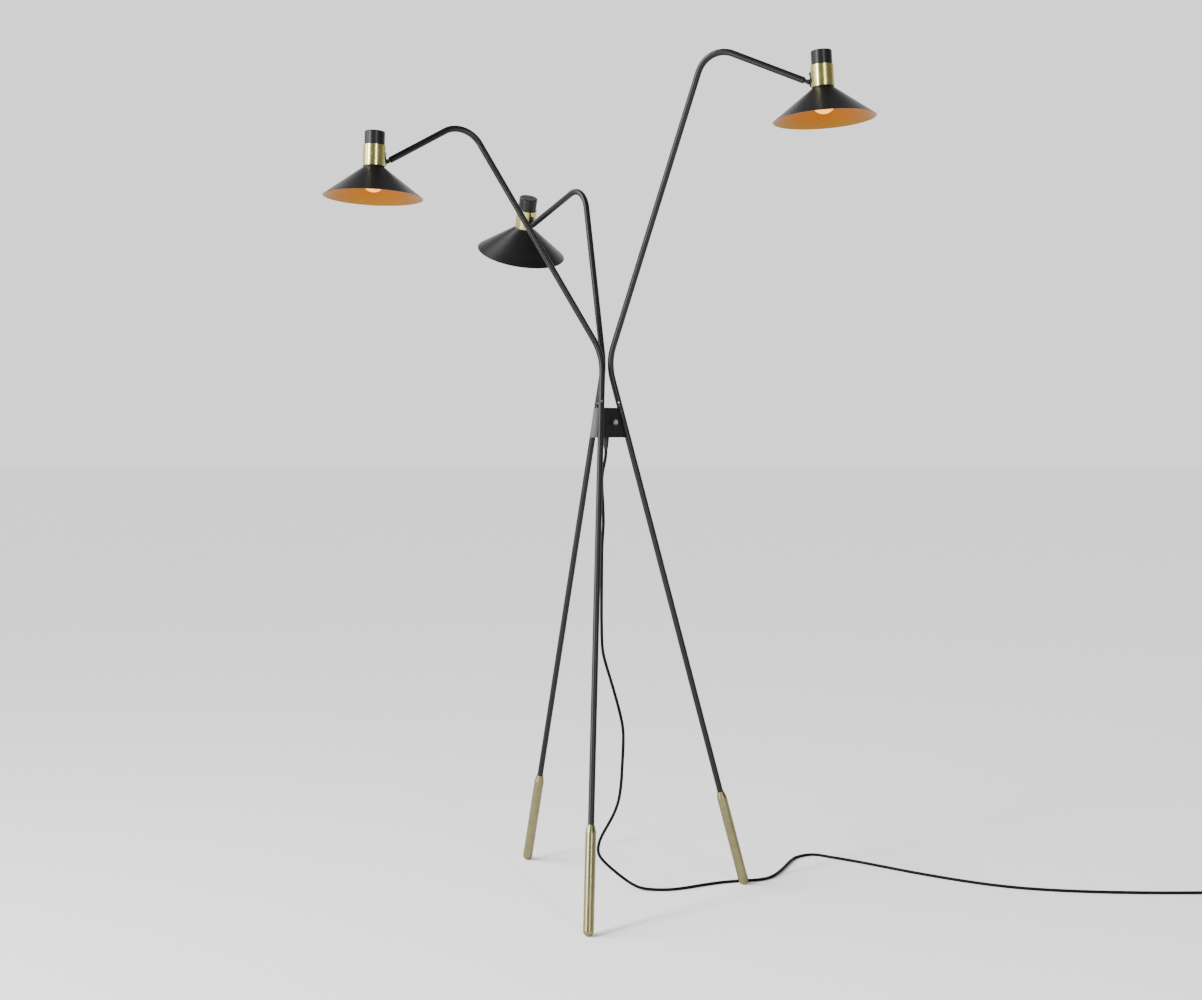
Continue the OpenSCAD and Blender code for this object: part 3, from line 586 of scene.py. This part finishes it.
TUBE_COAT = PowderCoat()
STEM_COAT = PowderCoat(roughness=0.4)
BRACKET_COAT = PowderCoat(roughness=0.42)
AGED_BRASS = TurnedBrass((0.27, 0.245, 0.13), (0.14, 0.122, 0.06), roughness=0.3, tarnish=0.6)
DARK_STEEL = TurnedSteel((0.1, 0.095, 0.085), (0.05, 0.048, 0.045))
PORCELAIN = Moulded((0.78, 0.76, 0.71), roughness=0.3)
BLOCK_WHITE = Moulded((0.75, 0.74, 0.7), roughness=0.45)
SWITCH_GREY = Moulded((0.2, 0.2, 0.205), roughness=0.42)
BEZEL_BLACK = Moulded((0.012, 0.012, 0.0125), roughness=0.4)
PLUG_BLACK = Moulded((0.014, 0.014, 0.015), roughness=0.45)
BLACK_PLASTIC = Moulded((0.006, 0.006, 0.0065), roughness=0.5, shine=0.2)


# Mesh helpers


def turned(profile: Sequence[tuple[float, float]], steps: int) -> bmesh.types.BMesh:
    """Spins a closed profile round Z.

    Args:
        profile: Radius and height of each corner, in order round the section.
        steps: Pieces in the full turn.

    Returns:
        The shell, with its normals outward.
    """
    bm = bmesh.new()
    corners = [bm.verts.new((radius, 0.0, height)) for radius, height in profile]
    edges = [bm.edges.new((a, b)) for a, b in zip(corners, corners[1:] + corners[:1])]
    bmesh.ops.spin(
        bm,
        geom=corners + edges,
        axis=(0.0, 0.0, 1.0),
        cent=(0.0, 0.0, 0.0),
        angle=math.tau,
        steps=steps,
        use_merge=True,
    )
    bmesh.ops.remove_doubles(bm, verts=bm.verts, dist=WELD)
    bmesh.ops.recalc_face_normals(bm, faces=bm.faces)
    return bm


def round_off(
    bm: bmesh.types.BMesh, edges: list[bmesh.types.BMEdge], size: float, segments: int
) -> None:
    """Rounds some edges.

    Args:
        bm: The mesh.
        edges: The edges.
        size: How far the rounding reaches, in millimetres.
        segments: Steps in it.
    """
    bmesh.ops.bevel(
        bm,
        geom=edges,
        offset=size,
        offset_type="OFFSET",
        segments=segments,
        profile=0.5,
        affect="EDGES",
        material=-1,
    )


def settle(
    bm: bmesh.types.BMesh,
    name: str,
    spot: Matrix,
    materials: Iterable[bpy.types.Material],
    crease: float = 38.0,
) -> bpy.types.Object:
    """Makes an object at the origin from a mesh in millimetres.

    Args:
        bm: The mesh, which is freed.
        name: The piece's name.
        spot: The frame that the mesh is in, in metres.
        materials: Its materials, in slot order.
        crease: The angle past which an edge stays sharp, in degrees.

    Returns:
        The object.
    """
    bmesh.ops.transform(bm, matrix=spot @ Matrix.Scale(MM, 4), verts=bm.verts)
    mesh = bpy.data.meshes.new(name)
    bm.to_mesh(mesh)
    bm.free()
    mesh.shade_smooth()
    mesh.set_sharp_from_angle(angle=math.radians(crease))
    piece = bpy.data.objects.new(name, mesh)
    bpy.context.scene.collection.objects.link(piece)
    for material in materials:
        mesh.materials.append(material)
    return piece


def dress(node: str, material: bpy.types.Material) -> bpy.types.Object:
    """Gives a CAD node its finish.

    Args:
        node: The node's name.
        material: The finish.

    Returns:
        The node's object.
    """
    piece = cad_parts[node]
    piece.data.materials.clear()
    piece.data.materials.append(material)
    return piece


def report(pieces: Iterable[bpy.types.Object]) -> None:
    """Logs each piece with its finishes.

    Args:
        pieces: The pieces.
    """
    for piece in pieces:
        finishes = ", ".join(slot.material.name for slot in piece.material_slots)
        LOG.info("%s: %s", piece.name, finishes)


def slide(x: float, y: float, z: float) -> Matrix:
    """A move in millimetres."""
    return Matrix.Translation((x * MM, y * MM, z * MM))


def turn(angle: float, axis: str) -> Matrix:
    """A turn in degrees about one axis."""
    return Matrix.Rotation(math.radians(angle), 4, axis)


# The lamp


@dataclass(frozen=True)
class Tripod:
    """Sizes that the legs and arms share."""

    foot_radius: float = 282.0
    box_radius: float = 37.65
    box_mid: float = 927.5
    joint_z: float = 961.5
    ball_z: float = 9.165
    top_bend: float = 93.0
    stem_len: float = 8.0
    pin_off: float = 26.5
    pin_h: float = 70.0

    def run_in(self) -> float:
        """How far a leg comes in, from its foot to the box."""
        return self.foot_radius - self.box_radius

    def lean(self) -> float:
        """The lean of every leg, in degrees."""
        return math.degrees(math.atan2(self.run_in(), self.box_mid - self.ball_z))

    def joint_run(self) -> float:
        """From the ball of the foot to the arm's joint, along the leg."""
        return (self.joint_z - self.ball_z) / math.cos(math.radians(self.lean()))


@dataclass(frozen=True)
class Side:
    """One leg with its arm and head."""

    name: Sides
    foot_turn: float
    offset: float
    knee_rise: float
    arm_turn: float
    knee_bend: float
    arm_run: float
    reach: float
    roll: float
    tilt: float
    stand: Tripod = field(default_factory=Tripod)

    def node(self, piece: str) -> str:
        """The node's name for a piece on this side."""
        return f"{piece}_{self.name.value}"

    def body(self, piece: str) -> str:
        """The body's name for a piece on this side."""
        return f"{piece}_{self.name.value}_body"

    def leg(self) -> Matrix:
        """The leg's frame.

        Returns:
            The frame, with zero in the ball of the foot and +Z up the leg.
        """
        stand = self.stand
        skew = math.degrees(math.asin(self.offset / stand.run_in()))
        return (
            turn(self.foot_turn, "Z")
            @ slide(stand.foot_radius, 0.0, stand.ball_z)
            @ turn(skew, "Z")
            @ turn(-stand.lean(), "Y")
        )

    def arm_end(self) -> Matrix:
        """The frame of the arm's end.

        Returns:
            The frame, with zero on the end's face and +Z outward.
        """
        stand = self.stand
        knee = slide(0.0, 0.0, stand.joint_run() + self.knee_rise) @ turn(self.knee_bend, "Y")
        top = slide(0.0, 0.0, self.arm_run) @ turn(stand.top_bend, "Y")
        return self.leg() @ turn(self.arm_turn, "Z") @ knee @ top @ slide(0.0, 0.0, self.reach)

    def head(self) -> Matrix:
        """The shade's frame.

        Returns:
            The frame, with zero in the rim's middle, +Z to the cap and +X to the arm.
        """
        stand = self.stand
        return (
            self.arm_end()
            @ turn(self.roll, "Z")
            @ slide(0.0, 0.0, stand.stem_len)
            @ turn(-90.0 - self.tilt, "Y")
            @ turn(180.0, "Z")
            @ slide(-stand.pin_off, 0.0, -stand.pin_h)
        )


@dataclass(frozen=True)
class Head:
    """A cone shade with its collar, cap, lampholder and bulb."""

    side: Side
    rim_r: float = 93.5
    cone_top_r: float = 20.0
    cone_h: float = 56.0
    neck: float = 2.0
    sheet: float = 1.2
    hole_r: float = 14.2
    edge: float = 0.45
    # Corners of the rim's bead: in from the outside, in from it below, out from the inside
    bead_side: float = 0.25
    bead_under: float = 0.6
    bead_inner: float = 0.4
    bend: float = 1.0
    steps: int = 128
    # Keeps the neck's flat top out of the lining
    margin: float = 0.1

    def slope(self) -> float:
        """How much the cone widens for each millimetre of height."""
        return (self.rim_r - self.cone_top_r) / self.cone_h

    def inset(self) -> float:
        """The sheet's thickness, measured along the radius."""
        return self.sheet * math.hypot(1.0, self.slope())

    def shade_profile(self) -> list[tuple[float, float]]:
        """The sheet's section: a thin cone with a bead at its rim and a short neck.

        Returns:
            Radius and height of each corner, in order.
        """
        slope, edge, bend = self.slope(), self.edge, self.bend
        inner_r = self.rim_r - self.inset()
        top = self.cone_h + self.neck
        under = top - self.sheet
        return [
            (self.rim_r - self.bead_side, edge * 0.1),
            (self.rim_r, edge * 0.6),
            (self.rim_r - edge * slope, edge * 1.5),
            (self.cone_top_r + bend * slope, self.cone_h - bend),
            (self.cone_top_r + bend * 0.45, self.cone_h - bend * 0.2),
            (self.cone_top_r, self.cone_h + bend * 0.5),
            (self.cone_top_r, top),
            (self.hole_r, top),
            (self.hole_r, under),
            (inner_r - under * slope, under),
            (inner_r - edge * slope, edge),
            (inner_r, edge * 0.3),
            (inner_r + self.bead_inner, 0.0),
            (self.rim_r - self.bead_under, 0.0),
        ]

    def shade(self, outside: bpy.types.Material, inside: bpy.types.Material) -> bpy.types.Object:
        """Makes the shade, black outside and gold inside.

        Args:
            outside: Finish of the outside.
            inside: Finish of the lining.

        Returns:
            The shade.
        """
        bm = turned(self.shade_profile(), self.steps)
        middle = self.rim_r - self.inset() * 0.5
        top = self.cone_h + self.neck - self.margin
        for face in bm.faces:
            centre = face.calc_center_median()
            radius = math.hypot(centre.x, centre.y)
            within = radius < middle - centre.z * self.slope() and centre.z < top
            face.material_index = 1 if within else 0
        piece = settle(bm, self.side.node("spun_shade"), self.side.head(), (outside, inside))
        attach(piece, self.side.body("head"))
        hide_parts(self.side.node("shade"))
        return piece

    def build(self) -> list[bpy.types.Object]:
        """Makes the shade and dresses the rest of the head.

        Returns:
            The head's pieces.
        """
        spot, name = self.side.head(), self.side.node
        black = TUBE_COAT.make(name("black_coat"), spot)
        gold = GoldLining().make(name("gold_lining"), spot)
        porcelain = PORCELAIN.make(name("holder_white"), spot)
        return [
            self.shade(black, gold),
            dress(name("cap"), black),
            dress(name("collar"), TurnedBrass().make(name("pale_brass"), spot)),
            dress(name("tilt_bracket"), BRACKET_COAT.make(name("bracket_coat"), spot)),
            dress(name("tilt_fixings"), DARK_STEEL.make(name("dark_screws"), spot)),
            dress(name("bulb"), OpalGlass().make(name("opal"), spot)),
            dress(name("lampholder"), porcelain),
            dress(name("shade_ring"), porcelain),
        ]


@dataclass(frozen=True)
class Limb:
    """A leg with its foot sleeve, and the arm that swivels on it."""

    side: Side

    def build(
        self, coat: bpy.types.Material, plastic: bpy.types.Material
    ) -> list[bpy.types.Object]:
        """Dresses the limb's nodes.

        Args:
            coat: Finish of the tubes.
            plastic: Finish of the bush.

        Returns:
            The limb's pieces.
        """
        name, leg = self.side.node, self.side.leg()
        return [
            dress(name("foot"), AGED_BRASS.make(name("aged_brass"), leg)),
            dress(name("leg"), coat),
            dress(name("arm"), coat),
            dress(name("arm_bush"), plastic),
            dress(name("arm_lead"), Sheath().make(name("lead_sheath"))),
            dress(name("set_screw"), TurnedSteel().make(name("set_screw_steel"), leg)),
            dress(name("stem"), STEM_COAT.make(name("stem_coat"), self.side.arm_end())),
        ]


@dataclass(frozen=True)
class WiringBox:
    """The three-sided box between the tubes, with its switch."""

    coat: bpy.types.Material
    high: float = 58.0
    tube_r: float = 6.0
    skin: float = 0.3
    corner: float = 0.35
    flatness: float = 1.0

    def build(self, plastic: bpy.types.Material) -> list[bpy.types.Object]:
        """Dresses the box's nodes and makes its outer plate.

        Args:
            plastic: Finish of the black plastic pieces.

        Returns:
            The box's pieces.
        """
        finishes = {
            self.coat: ("hub_plates", "hub_top_cover", "hub_bottom_cover"),
            TurnedSteel().make("box_steel"): ("hub_pillar", "cover_screws", "swivel_spigots"),
            SWITCH_GREY.make("switch_grey"): ("switch_button",),
            BEZEL_BLACK.make("bezel_black"): ("switch_bezel",),
            plastic: ("switch_body", "strain_relief", "cord_tie"),
            BLOCK_WHITE.make("block_white"): ("terminal_block",),
        }
        dressed = [dress(node, finish) for finish, nodes in finishes.items() for node in nodes]
        return [*dressed, self.outer_plate()]

    def outer_plate(self) -> bpy.types.Object:
        """Builds the plate over the front and rear tubes, just proud of their outer sides.

        Returns:
            The plate.
        """
        front, rear = SIDES[0], SIDES[1]
        middle = front.stand.box_mid
        levels = (middle - self.high / 2.0, middle + self.high / 2.0)
        low, high = ([self.tube_centre(side, z) for side in (front, rear)] for z in levels)
        along = (low[1] - low[0] + high[1] - high[0]).normalized()
        out = Vector((along.y, -along.x, 0.0)).normalized()
        if out.dot(low[0] + low[1]) < 0.0:
            out = -out
        face = along.cross(high[0] - low[0] + high[1] - low[1]).normalized()
        centre = (low[0] + low[1] + high[0] + high[1]) / 4.0
        bm = bmesh.new()
        for end in low + high:
            flat = end - out * ((end - centre).dot(face) / out.dot(face))
            for depth in (-self.skin, self.tube_r + self.skin):
                bm.verts.new(flat + out * depth)
        bmesh.ops.convex_hull(bm, input=bm.verts)
        limit = math.radians(self.flatness)
        bmesh.ops.dissolve_limit(bm, angle_limit=limit, verts=bm.verts, edges=bm.edges)
        bmesh.ops.recalc_face_normals(bm, faces=bm.faces)
        round_off(bm, list(bm.edges), self.corner, segments=2)
        piece = settle(bm, "box_outer_plate", Matrix.Identity(4), (self.coat,))
        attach(piece, "stand")
        return piece

    @staticmethod
    def tube_centre(side: Side, z: float) -> Vector:
        """Where a leg's centre line passes a height.

        Args:
            side: The leg.
            z: The height in millimetres.

        Returns:
            The place in millimetres.
        """
        base = side.leg()
        foot = base @ Vector((0.0, 0.0, 0.0))
        way = (base @ Vector((0.0, 0.0, 1.0)) - foot).normalized()
        return (foot + way * ((z * MM - foot.z) / way.z)) / MM


@dataclass(frozen=True)
class MainsCord:
    """The mains cord: it hangs from the box, wanders over the floor and ends in a tied coil."""

    diameter: float = 6.0
    start: Point = (1.3, -6.0, 876.5)
    coil_at: tuple[float, float] = (1250.0, 14.0)
    coil_r: float = 33.0
    turns: float = 3.25
    turn_steps: int = 36
    pitch: float = 6.8
    cross_over: float = 0.5
    slack: float = 0.02
    tie: float = 0.6
    gap: float = 0.3
    tail: float = 40.0
    tail_steps: int = 8
    plug_thick: float = 13.6
    fine: int = 4

    def radius(self, s: float) -> float:
        """The coil's radius after s turns: it winds inward, then outward in the upper layer."""
        least = self.coil_r - self.pitch * self.turns / 4.0
        return least + self.pitch * math.sqrt((s - self.turns / 2.0) ** 2 + self.slack)

    @staticmethod
    def ease(t: float) -> float:
        """A smooth step from 0 to 1."""
        t = max(0.0, min(1.0, t))
        return t * t * (3.0 - 2.0 * t)

    def low(self) -> float:
        """Height of the coil's lower layer."""
        return self.diameter / 2.0 + self.tie + self.gap

    def height(self, s: float) -> float:
        """The coil's height after s turns."""
        return self.low() + self.pitch * self.ease((s - self.turns / 2.0) / self.cross_over + 0.5)

    def route(self) -> list[Point]:
        """The free stretch, from the strain relief to the coil.

        Returns:
            Points that lead it, in millimetres.
        """
        y = self.coil_at[1] - self.radius(0.0)
        x = self.coil_at[0] - self.diameter
        return [
            self.start, (1.3, -6, 864.5), (-2, -1, 845), (-7, 5, 815), (-3, 6, 740), (-6, 6, 690),
            (-7, 6, 620), (-7, 6, 500), (-1, 7, 459), (11, 8, 419), (33, 8, 339), (36, 8, 299),
            (34, 8, 255), (27, 8, 172), (-5, 8, 112), (-14, 8, 84), (-6, 7, 59), (50, 2, 14),
            (80, -1, 4), (112, -4, 3), (145, 2, 3), (195, 29, 3), (243, 51, 3), (288, 61, 3),
            (332, 76, 3), (365, 135, 3), (395, 212, 3), (416, 243, 3), (449, 258, 3),
            (484, 235, 3), (539, 197, 3), (620, 131, 3), (700, 73, 3), (789, 22, 3),
            (881, -6, 3), (976, -19, 3), (1060, -24, 3), (1140, y, 3),
            (x - 2.0 * self.diameter, y, self.low()), (x, y, self.low()),
        ]

    def chain(self) -> list[Vector]:
        """The route with a point half way along each step but the first and the last two.

        Returns:
            The points. Each new one lies on the cubic through the four points round it.
        """
        spots = [Vector(p) for p in self.route()]
        line = [spots[0]]
        for i in range(1, len(spots) - 3):
            a, b, c, d = spots[i - 1 : i + 3]
            half = (9.0 * (b + c) - a - d) / 16.0
            half.z = max(half.z, self.diameter / 2.0)
            line += [b, half]
        return line + spots[-3:]

    def smooth(self, points: Sequence[Vector]) -> list[Vector]:
        """One smooth curve, a cubic B-spline that is led by the points and keeps its two ends.

        Args:
            points: The points that lead it.

        Returns:
            Points along the curve.
        """
        spots = [2.0 * points[0] - points[1], *points, 2.0 * points[-1] - points[-2]]
        line = []
        for a, b, c, d in zip(spots, spots[1:], spots[2:], spots[3:]):
            for step in range(self.fine):
                t = step / self.fine
                ends = a * (1.0 - t) ** 3 + d * t**3
                near = b * (4.0 - 6.0 * t**2 + 3.0 * t**3)
                line.append((ends + near + c * (1.0 + 3.0 * t + 3.0 * t**2 - 3.0 * t**3)) / 6.0)
        return line

    def loops(self) -> list[Vector]:
        """The coil's turns and the tail to the plug.

        Returns:
            Points along them.
        """
        line, count = [], int(self.turns * self.turn_steps)
        for k in range(count + 1):
            s = k * self.turns / count
            angle = math.tau * s - math.pi / 2.0
            line.append(Vector((
                self.coil_at[0] + self.radius(s) * math.cos(angle),
                self.coil_at[1] + self.radius(s) * math.sin(angle),
                self.height(s),
            )))
        end = self.plug_at()
        top = self.height(self.turns)
        for k in range(self.tail_steps + 1):
            t = k / self.tail_steps
            y = self.coil_at[1] + self.diameter + self.tail * t
            line.append(Vector((end.x, y, top + (end.z - top) * self.ease(t))))
        return [*line, end]

    def plug_at(self) -> Vector:
        """Where the plug's neck starts.

        Returns:
            The place in millimetres.
        """
        x = self.coil_at[0] + self.radius(self.turns)
        y = self.coil_at[1] + 2.0 * self.diameter + self.tail
        return Vector((x, y, self.plug_thick / 2.0))

    def build(self) -> bpy.types.Object:
        """Makes the cord as one curve.

        Returns:
            The cord.
        """
        points = [p * MM for p in self.smooth(self.chain()) + self.loops()]
        curve = bpy.data.curves.new("flex", "CURVE")
        curve.dimensions = "3D"
        curve.bevel_depth = self.diameter * MM / 2.0
        curve.bevel_resolution = 4
        curve.use_fill_caps = True
        spline = curve.splines.new("POLY")
        spline.points.add(len(points) - 1)
        for spot, p in zip(spline.points, points):
            spot.co = (*p, 1.0)
        spline.use_smooth = True
        curve.materials.append(Sheath().make("cord_sheath"))
        piece = bpy.data.objects.new("flex", curve)
        bpy.context.scene.collection.objects.link(piece)
        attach(piece, "stand")
        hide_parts("mains_cord", "cord_coil")
        piece["length"] = sum((b - a).length for a, b in zip(points, points[1:]))
        return piece


@dataclass(frozen=True)
class Plug:
    """Flat two-pin plug at the cord's end, lying beside the coil."""

    cord: MainsCord
    width: float = 35.0
    body: float = 26.0
    corner: float = 5.0
    edge: float = 1.2
    neck: float = 22.0
    neck_in: float = 1.0
    rings: int = 5
    ring_deep: float = 0.5
    ring_flank: float = 0.04
    neck_steps: int = 40
    tip_d: float = 8.0
    sleeve_d: float = 3.9
    pin_d: float = 3.6
    pin_len: float = 19.0
    pin_gap: float = 18.6
    sleeve: float = 9.0
    seat: float = 0.5
    dome: float = 0.6
    dome_steps: int = 6
    pin_steps: int = 28

    @property
    def thick(self) -> float:
        """The body's thickness."""
        return self.cord.plug_thick

    def spot(self) -> Matrix:
        """The plug's frame: zero where the cord goes in, +Z towards the pins."""
        return slide(*self.cord.plug_at()) @ turn(-90.0, "X")

    def moulding(self) -> bmesh.types.BMesh:
        """The body: a slab with rounded corners and edges.

        Returns:
            The mesh.
        """
        bm = bmesh.new()
        bmesh.ops.create_cube(bm, size=1.0)
        bmesh.ops.scale(bm, vec=(self.width, self.thick, self.body), verts=bm.verts)
        bmesh.ops.translate(bm, vec=(0.0, 0.0, self.neck + self.body / 2.0), verts=bm.verts)
        standing = [e for e in bm.edges if e.verts[0].co.z != e.verts[1].co.z]
        round_off(bm, standing, self.corner, segments=6)
        lying = [e for e in bm.edges if abs(e.verts[0].co.z - e.verts[1].co.z) < WELD]
        round_off(bm, lying, self.edge, segments=3)
        return bm

    def relief(self) -> bmesh.types.BMesh:
        """The tapered neck with its grooves.

        Returns:
            The mesh.
        """
        wide = self.thick - self.neck_in
        profile = [(0.0, 0.0), (self.tip_d / 2.0, 0.0)]
        for k in range(self.rings):
            low, high = (k + 0.25) / self.rings, (k + 0.75) / self.rings
            floor = (low + self.ring_flank, high - self.ring_flank)
            for share in (low, *floor, high):
                radius = self.tip_d / 2.0 + (wide - self.tip_d) / 2.0 * share
                deep = self.ring_deep if share in floor else 0.0
                profile.append((radius - deep, self.neck * share))
        profile += [(wide / 2.0, self.neck), (0.0, self.neck)]
        return turned(profile, self.neck_steps)

    def pin(self, side: float, length: float, thick: float) -> bmesh.types.BMesh:
        """A pin or its sleeve.

        Args:
            side: -1 or 1, for its place.
            length: Its length past the body.
            thick: Its diameter.

        Returns:
            The mesh, with a rounded end.
        """
        r, low = thick / 2.0, self.neck + self.body
        dome = r * self.dome
        angles = [math.pi / 2.0 * k / self.dome_steps for k in range(self.dome_steps)]
        arc = [(r * math.cos(a), low + length - dome + dome * math.sin(a)) for a in angles]
        base = low - self.seat
        bm = turned([(0.0, base), (r, base), *arc, (0.0, low + length)], self.pin_steps)
        bmesh.ops.translate(bm, vec=(side * self.pin_gap / 2.0, 0.0, 0.0), verts=bm.verts)
        return bm

    def build(self) -> list[bpy.types.Object]:
        """Makes the plug's pieces.

        Returns:
            The moulded body, its neck, the sleeves and the pins.
        """
        plastic = PLUG_BLACK.make("plug_plastic", self.spot())
        metal = TurnedSteel().make("pin_metal", self.spot())
        parts = {
            "plug_body": (self.moulding(), plastic),
            "plug_neck": (self.relief(), plastic),
            "plug_sleeve_left": (self.pin(-1.0, self.sleeve, self.sleeve_d), plastic),
            "plug_sleeve_right": (self.pin(1.0, self.sleeve, self.sleeve_d), plastic),
            "plug_pin_left": (self.pin(-1.0, self.pin_len, self.pin_d), metal),
            "plug_pin_right": (self.pin(1.0, self.pin_len, self.pin_d), metal),
        }
        made = []
        for name, (bm, material) in parts.items():
            piece = settle(bm, name, self.spot(), (material,))
            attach(piece, "stand")
            made.append(piece)
        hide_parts("plug")
        return made


@dataclass(frozen=True)
class SoftBox:
    """A tall light box that faces the lamp, placed in metres."""

    name: str
    at: Point
    size: tuple[float, float]
    power: float
    aim: Point = (0.0, 0.0, 1.1)

    def build(self) -> None:
        """Makes the light."""
        data = bpy.data.lights.new(self.name, "AREA")
        data.shape = "RECTANGLE"
        data.size, data.size_y = self.size
        data.energy = self.power
        lamp = bpy.data.objects.new(self.name, data)
        lamp.location = self.at
        facing = Vector(self.aim) - Vector(self.at)
        lamp.rotation_euler = facing.to_track_quat("-Z", "Y").to_euler()
        bpy.context.scene.collection.objects.link(lamp)


@dataclass(frozen=True)
class Daylight:
    """A wide, soft light from far off, which lights the floor evenly."""

    name: str = "left_day"
    source: Point = (-0.8, -0.1, 0.6)
    power: float = 5.4
    spread: float = 50.0

    def build(self) -> None:
        """Makes the light."""
        data = bpy.data.lights.new(self.name, "SUN")
        data.angle = math.radians(self.spread)
        data.energy = self.power
        lamp = bpy.data.objects.new(self.name, data)
        lamp.rotation_euler = Vector(self.source).to_track_quat("Z", "Y").to_euler()
        bpy.context.scene.collection.objects.link(lamp)


@dataclass(frozen=True)
class Sky:
    """A plain sky: bright low down behind the lamp and to its left, and dim elsewhere."""

    bright: float = 1.4
    dim: float = 0.26
    zenith: float = 0.12
    back_share: float = 0.8
    right_share: float = 0.3
    level: float = 0.45
    dusk_gain: float = 2.2
    dusk_level: float = 0.9

    def build(self) -> None:
        """Makes the world."""
        world = bpy.data.worlds.new("studio")
        world.use_nodes = True
        graph = Graph(world.node_tree)
        way = graph.add("ShaderNodeTexCoord", output="Object")
        back, right = graph.along(way, "Y"), graph.along(way, "X")
        share = (back * self.back_share - right * self.right_share + self.level).held().eased()
        above = (graph.along(way, "Z") * self.dusk_gain - self.dusk_level).held().eased()
        around = self.dim + share * (self.bright - self.dim)
        strength = around * (self.zenith + (1.0 - above) * (1.0 - self.zenith))
        shader = graph.tree.nodes.new("ShaderNodeBackground")
        shader.inputs["Color"].default_value = (1.0, 1.0, 1.0, 1.0)
        graph.tree.links.new(strength.socket, shader.inputs["Strength"])
        output = graph.tree.nodes.new("ShaderNodeOutputWorld")
        graph.tree.links.new(shader.outputs[0], output.inputs["Surface"])
        bpy.context.scene.world = world


@dataclass(frozen=True)
class Studio:
    """Camera, pale floor, sky and soft lights."""

    focal: float = 1541.0
    image_width: float = 1202.0
    sensor: float = 36.0
    clip: tuple[float, float] = (0.05, 60.0)
    pitch: float = 2.2
    eye: Point = (-8.3, -3026.0, 892.0)
    paper: Colour = (0.93, 0.93, 0.925)
    tooth_scale: float = 300.0
    tooth_dark: float = 0.985
    floor_size: float = 45000.0
    boxes: tuple[SoftBox, ...] = (
        SoftBox("left_box", (-2.6, -2.0, 1.5), (0.45, 2.6), 170.0),
        SoftBox("right_box", (1.3, -3.4, 1.5), (0.25, 2.4), 70.0),
    )

    def camera(self) -> bpy.types.Object:
        """Makes the camera at the photograph's place.

        Returns:
            The camera.
        """
        data = bpy.data.cameras.new("camera")
        data.sensor_width = self.sensor
        data.lens = self.focal / self.image_width * self.sensor
        data.clip_start, data.clip_end = self.clip
        camera = bpy.data.objects.new("camera", data)
        camera.location = Vector(self.eye) * MM
        camera.rotation_euler = (math.radians(90.0 - self.pitch), 0.0, 0.0)
        bpy.context.scene.collection.objects.link(camera)
        bpy.context.scene.camera = camera
        return camera

    def floor(self) -> bpy.types.Object:
        """Makes the floor.

        Returns:
            The floor.
        """
        graph = Surface("studio_paper")
        tooth = graph.noise(graph.place(), self.tooth_scale, detail=2.0)
        darker = tuple(c * self.tooth_dark for c in self.paper)
        paper = graph.finish(
            Base_Color=graph.mix(tooth, self.paper, darker),
            Roughness=0.9,
            Specular_IOR_Level=0.1,
        )
        bm = bmesh.new()
        bmesh.ops.create_grid(bm, x_segments=1, y_segments=1, size=self.floor_size)
        piece = settle(bm, "studio_floor", Matrix.Identity(4), (paper,))
        return piece

    def build(self) -> bpy.types.Object:
        """Makes the floor, the sky and the lights.

        Returns:
            The floor.
        """
        floor = self.floor()
        Sky().build()
        for box in self.boxes:
            box.build()
        Daylight().build()
        return floor


SIDES = (
    Side(
        Sides.FRONT,
        foot_turn=-96.3,
        offset=4.26,
        knee_rise=101.53,
        arm_turn=-59.3,
        knee_bend=35.5,
        arm_run=524.6,
        reach=186.5,
        roll=-15.0,
        tilt=31.9,
    ),
    Side(
        Sides.REAR,
        foot_turn=125.7,
        offset=1.71,
        knee_rise=79.53,
        arm_turn=-4.2,
        knee_bend=27.9,
        arm_run=379.2,
        reach=209.9,
        roll=-8.8,
        tilt=42.5,
    ),
    Side(
        Sides.RIGHT,
        foot_turn=9.3,
        offset=-1.28,
        knee_rise=86.53,
        arm_turn=-31.1,
        knee_bend=33.9,
        arm_run=626.0,
        reach=197.6,
        roll=-6.7,
        tilt=26.8,
    ),
)


def main() -> None:
    """Builds the camera, the cord, the lamp's pieces and the studio."""
    logging.basicConfig(level=logging.INFO, format="%(name)s: %(message)s")
    studio = Studio()
    studio.camera()
    cord = MainsCord()
    flex = cord.build()
    plug = Plug(cord).build()
    report([flex, *plug])
    coat = TUBE_COAT.make("tube_coat")
    plastic = BLACK_PLASTIC.make("black_plastic")
    report(WiringBox(coat).build(plastic))
    for side in SIDES:
        report(Limb(side).build(coat, plastic))
        report(Head(side).build())
    report([studio.build()])


if __name__ == "__main__":
    main()
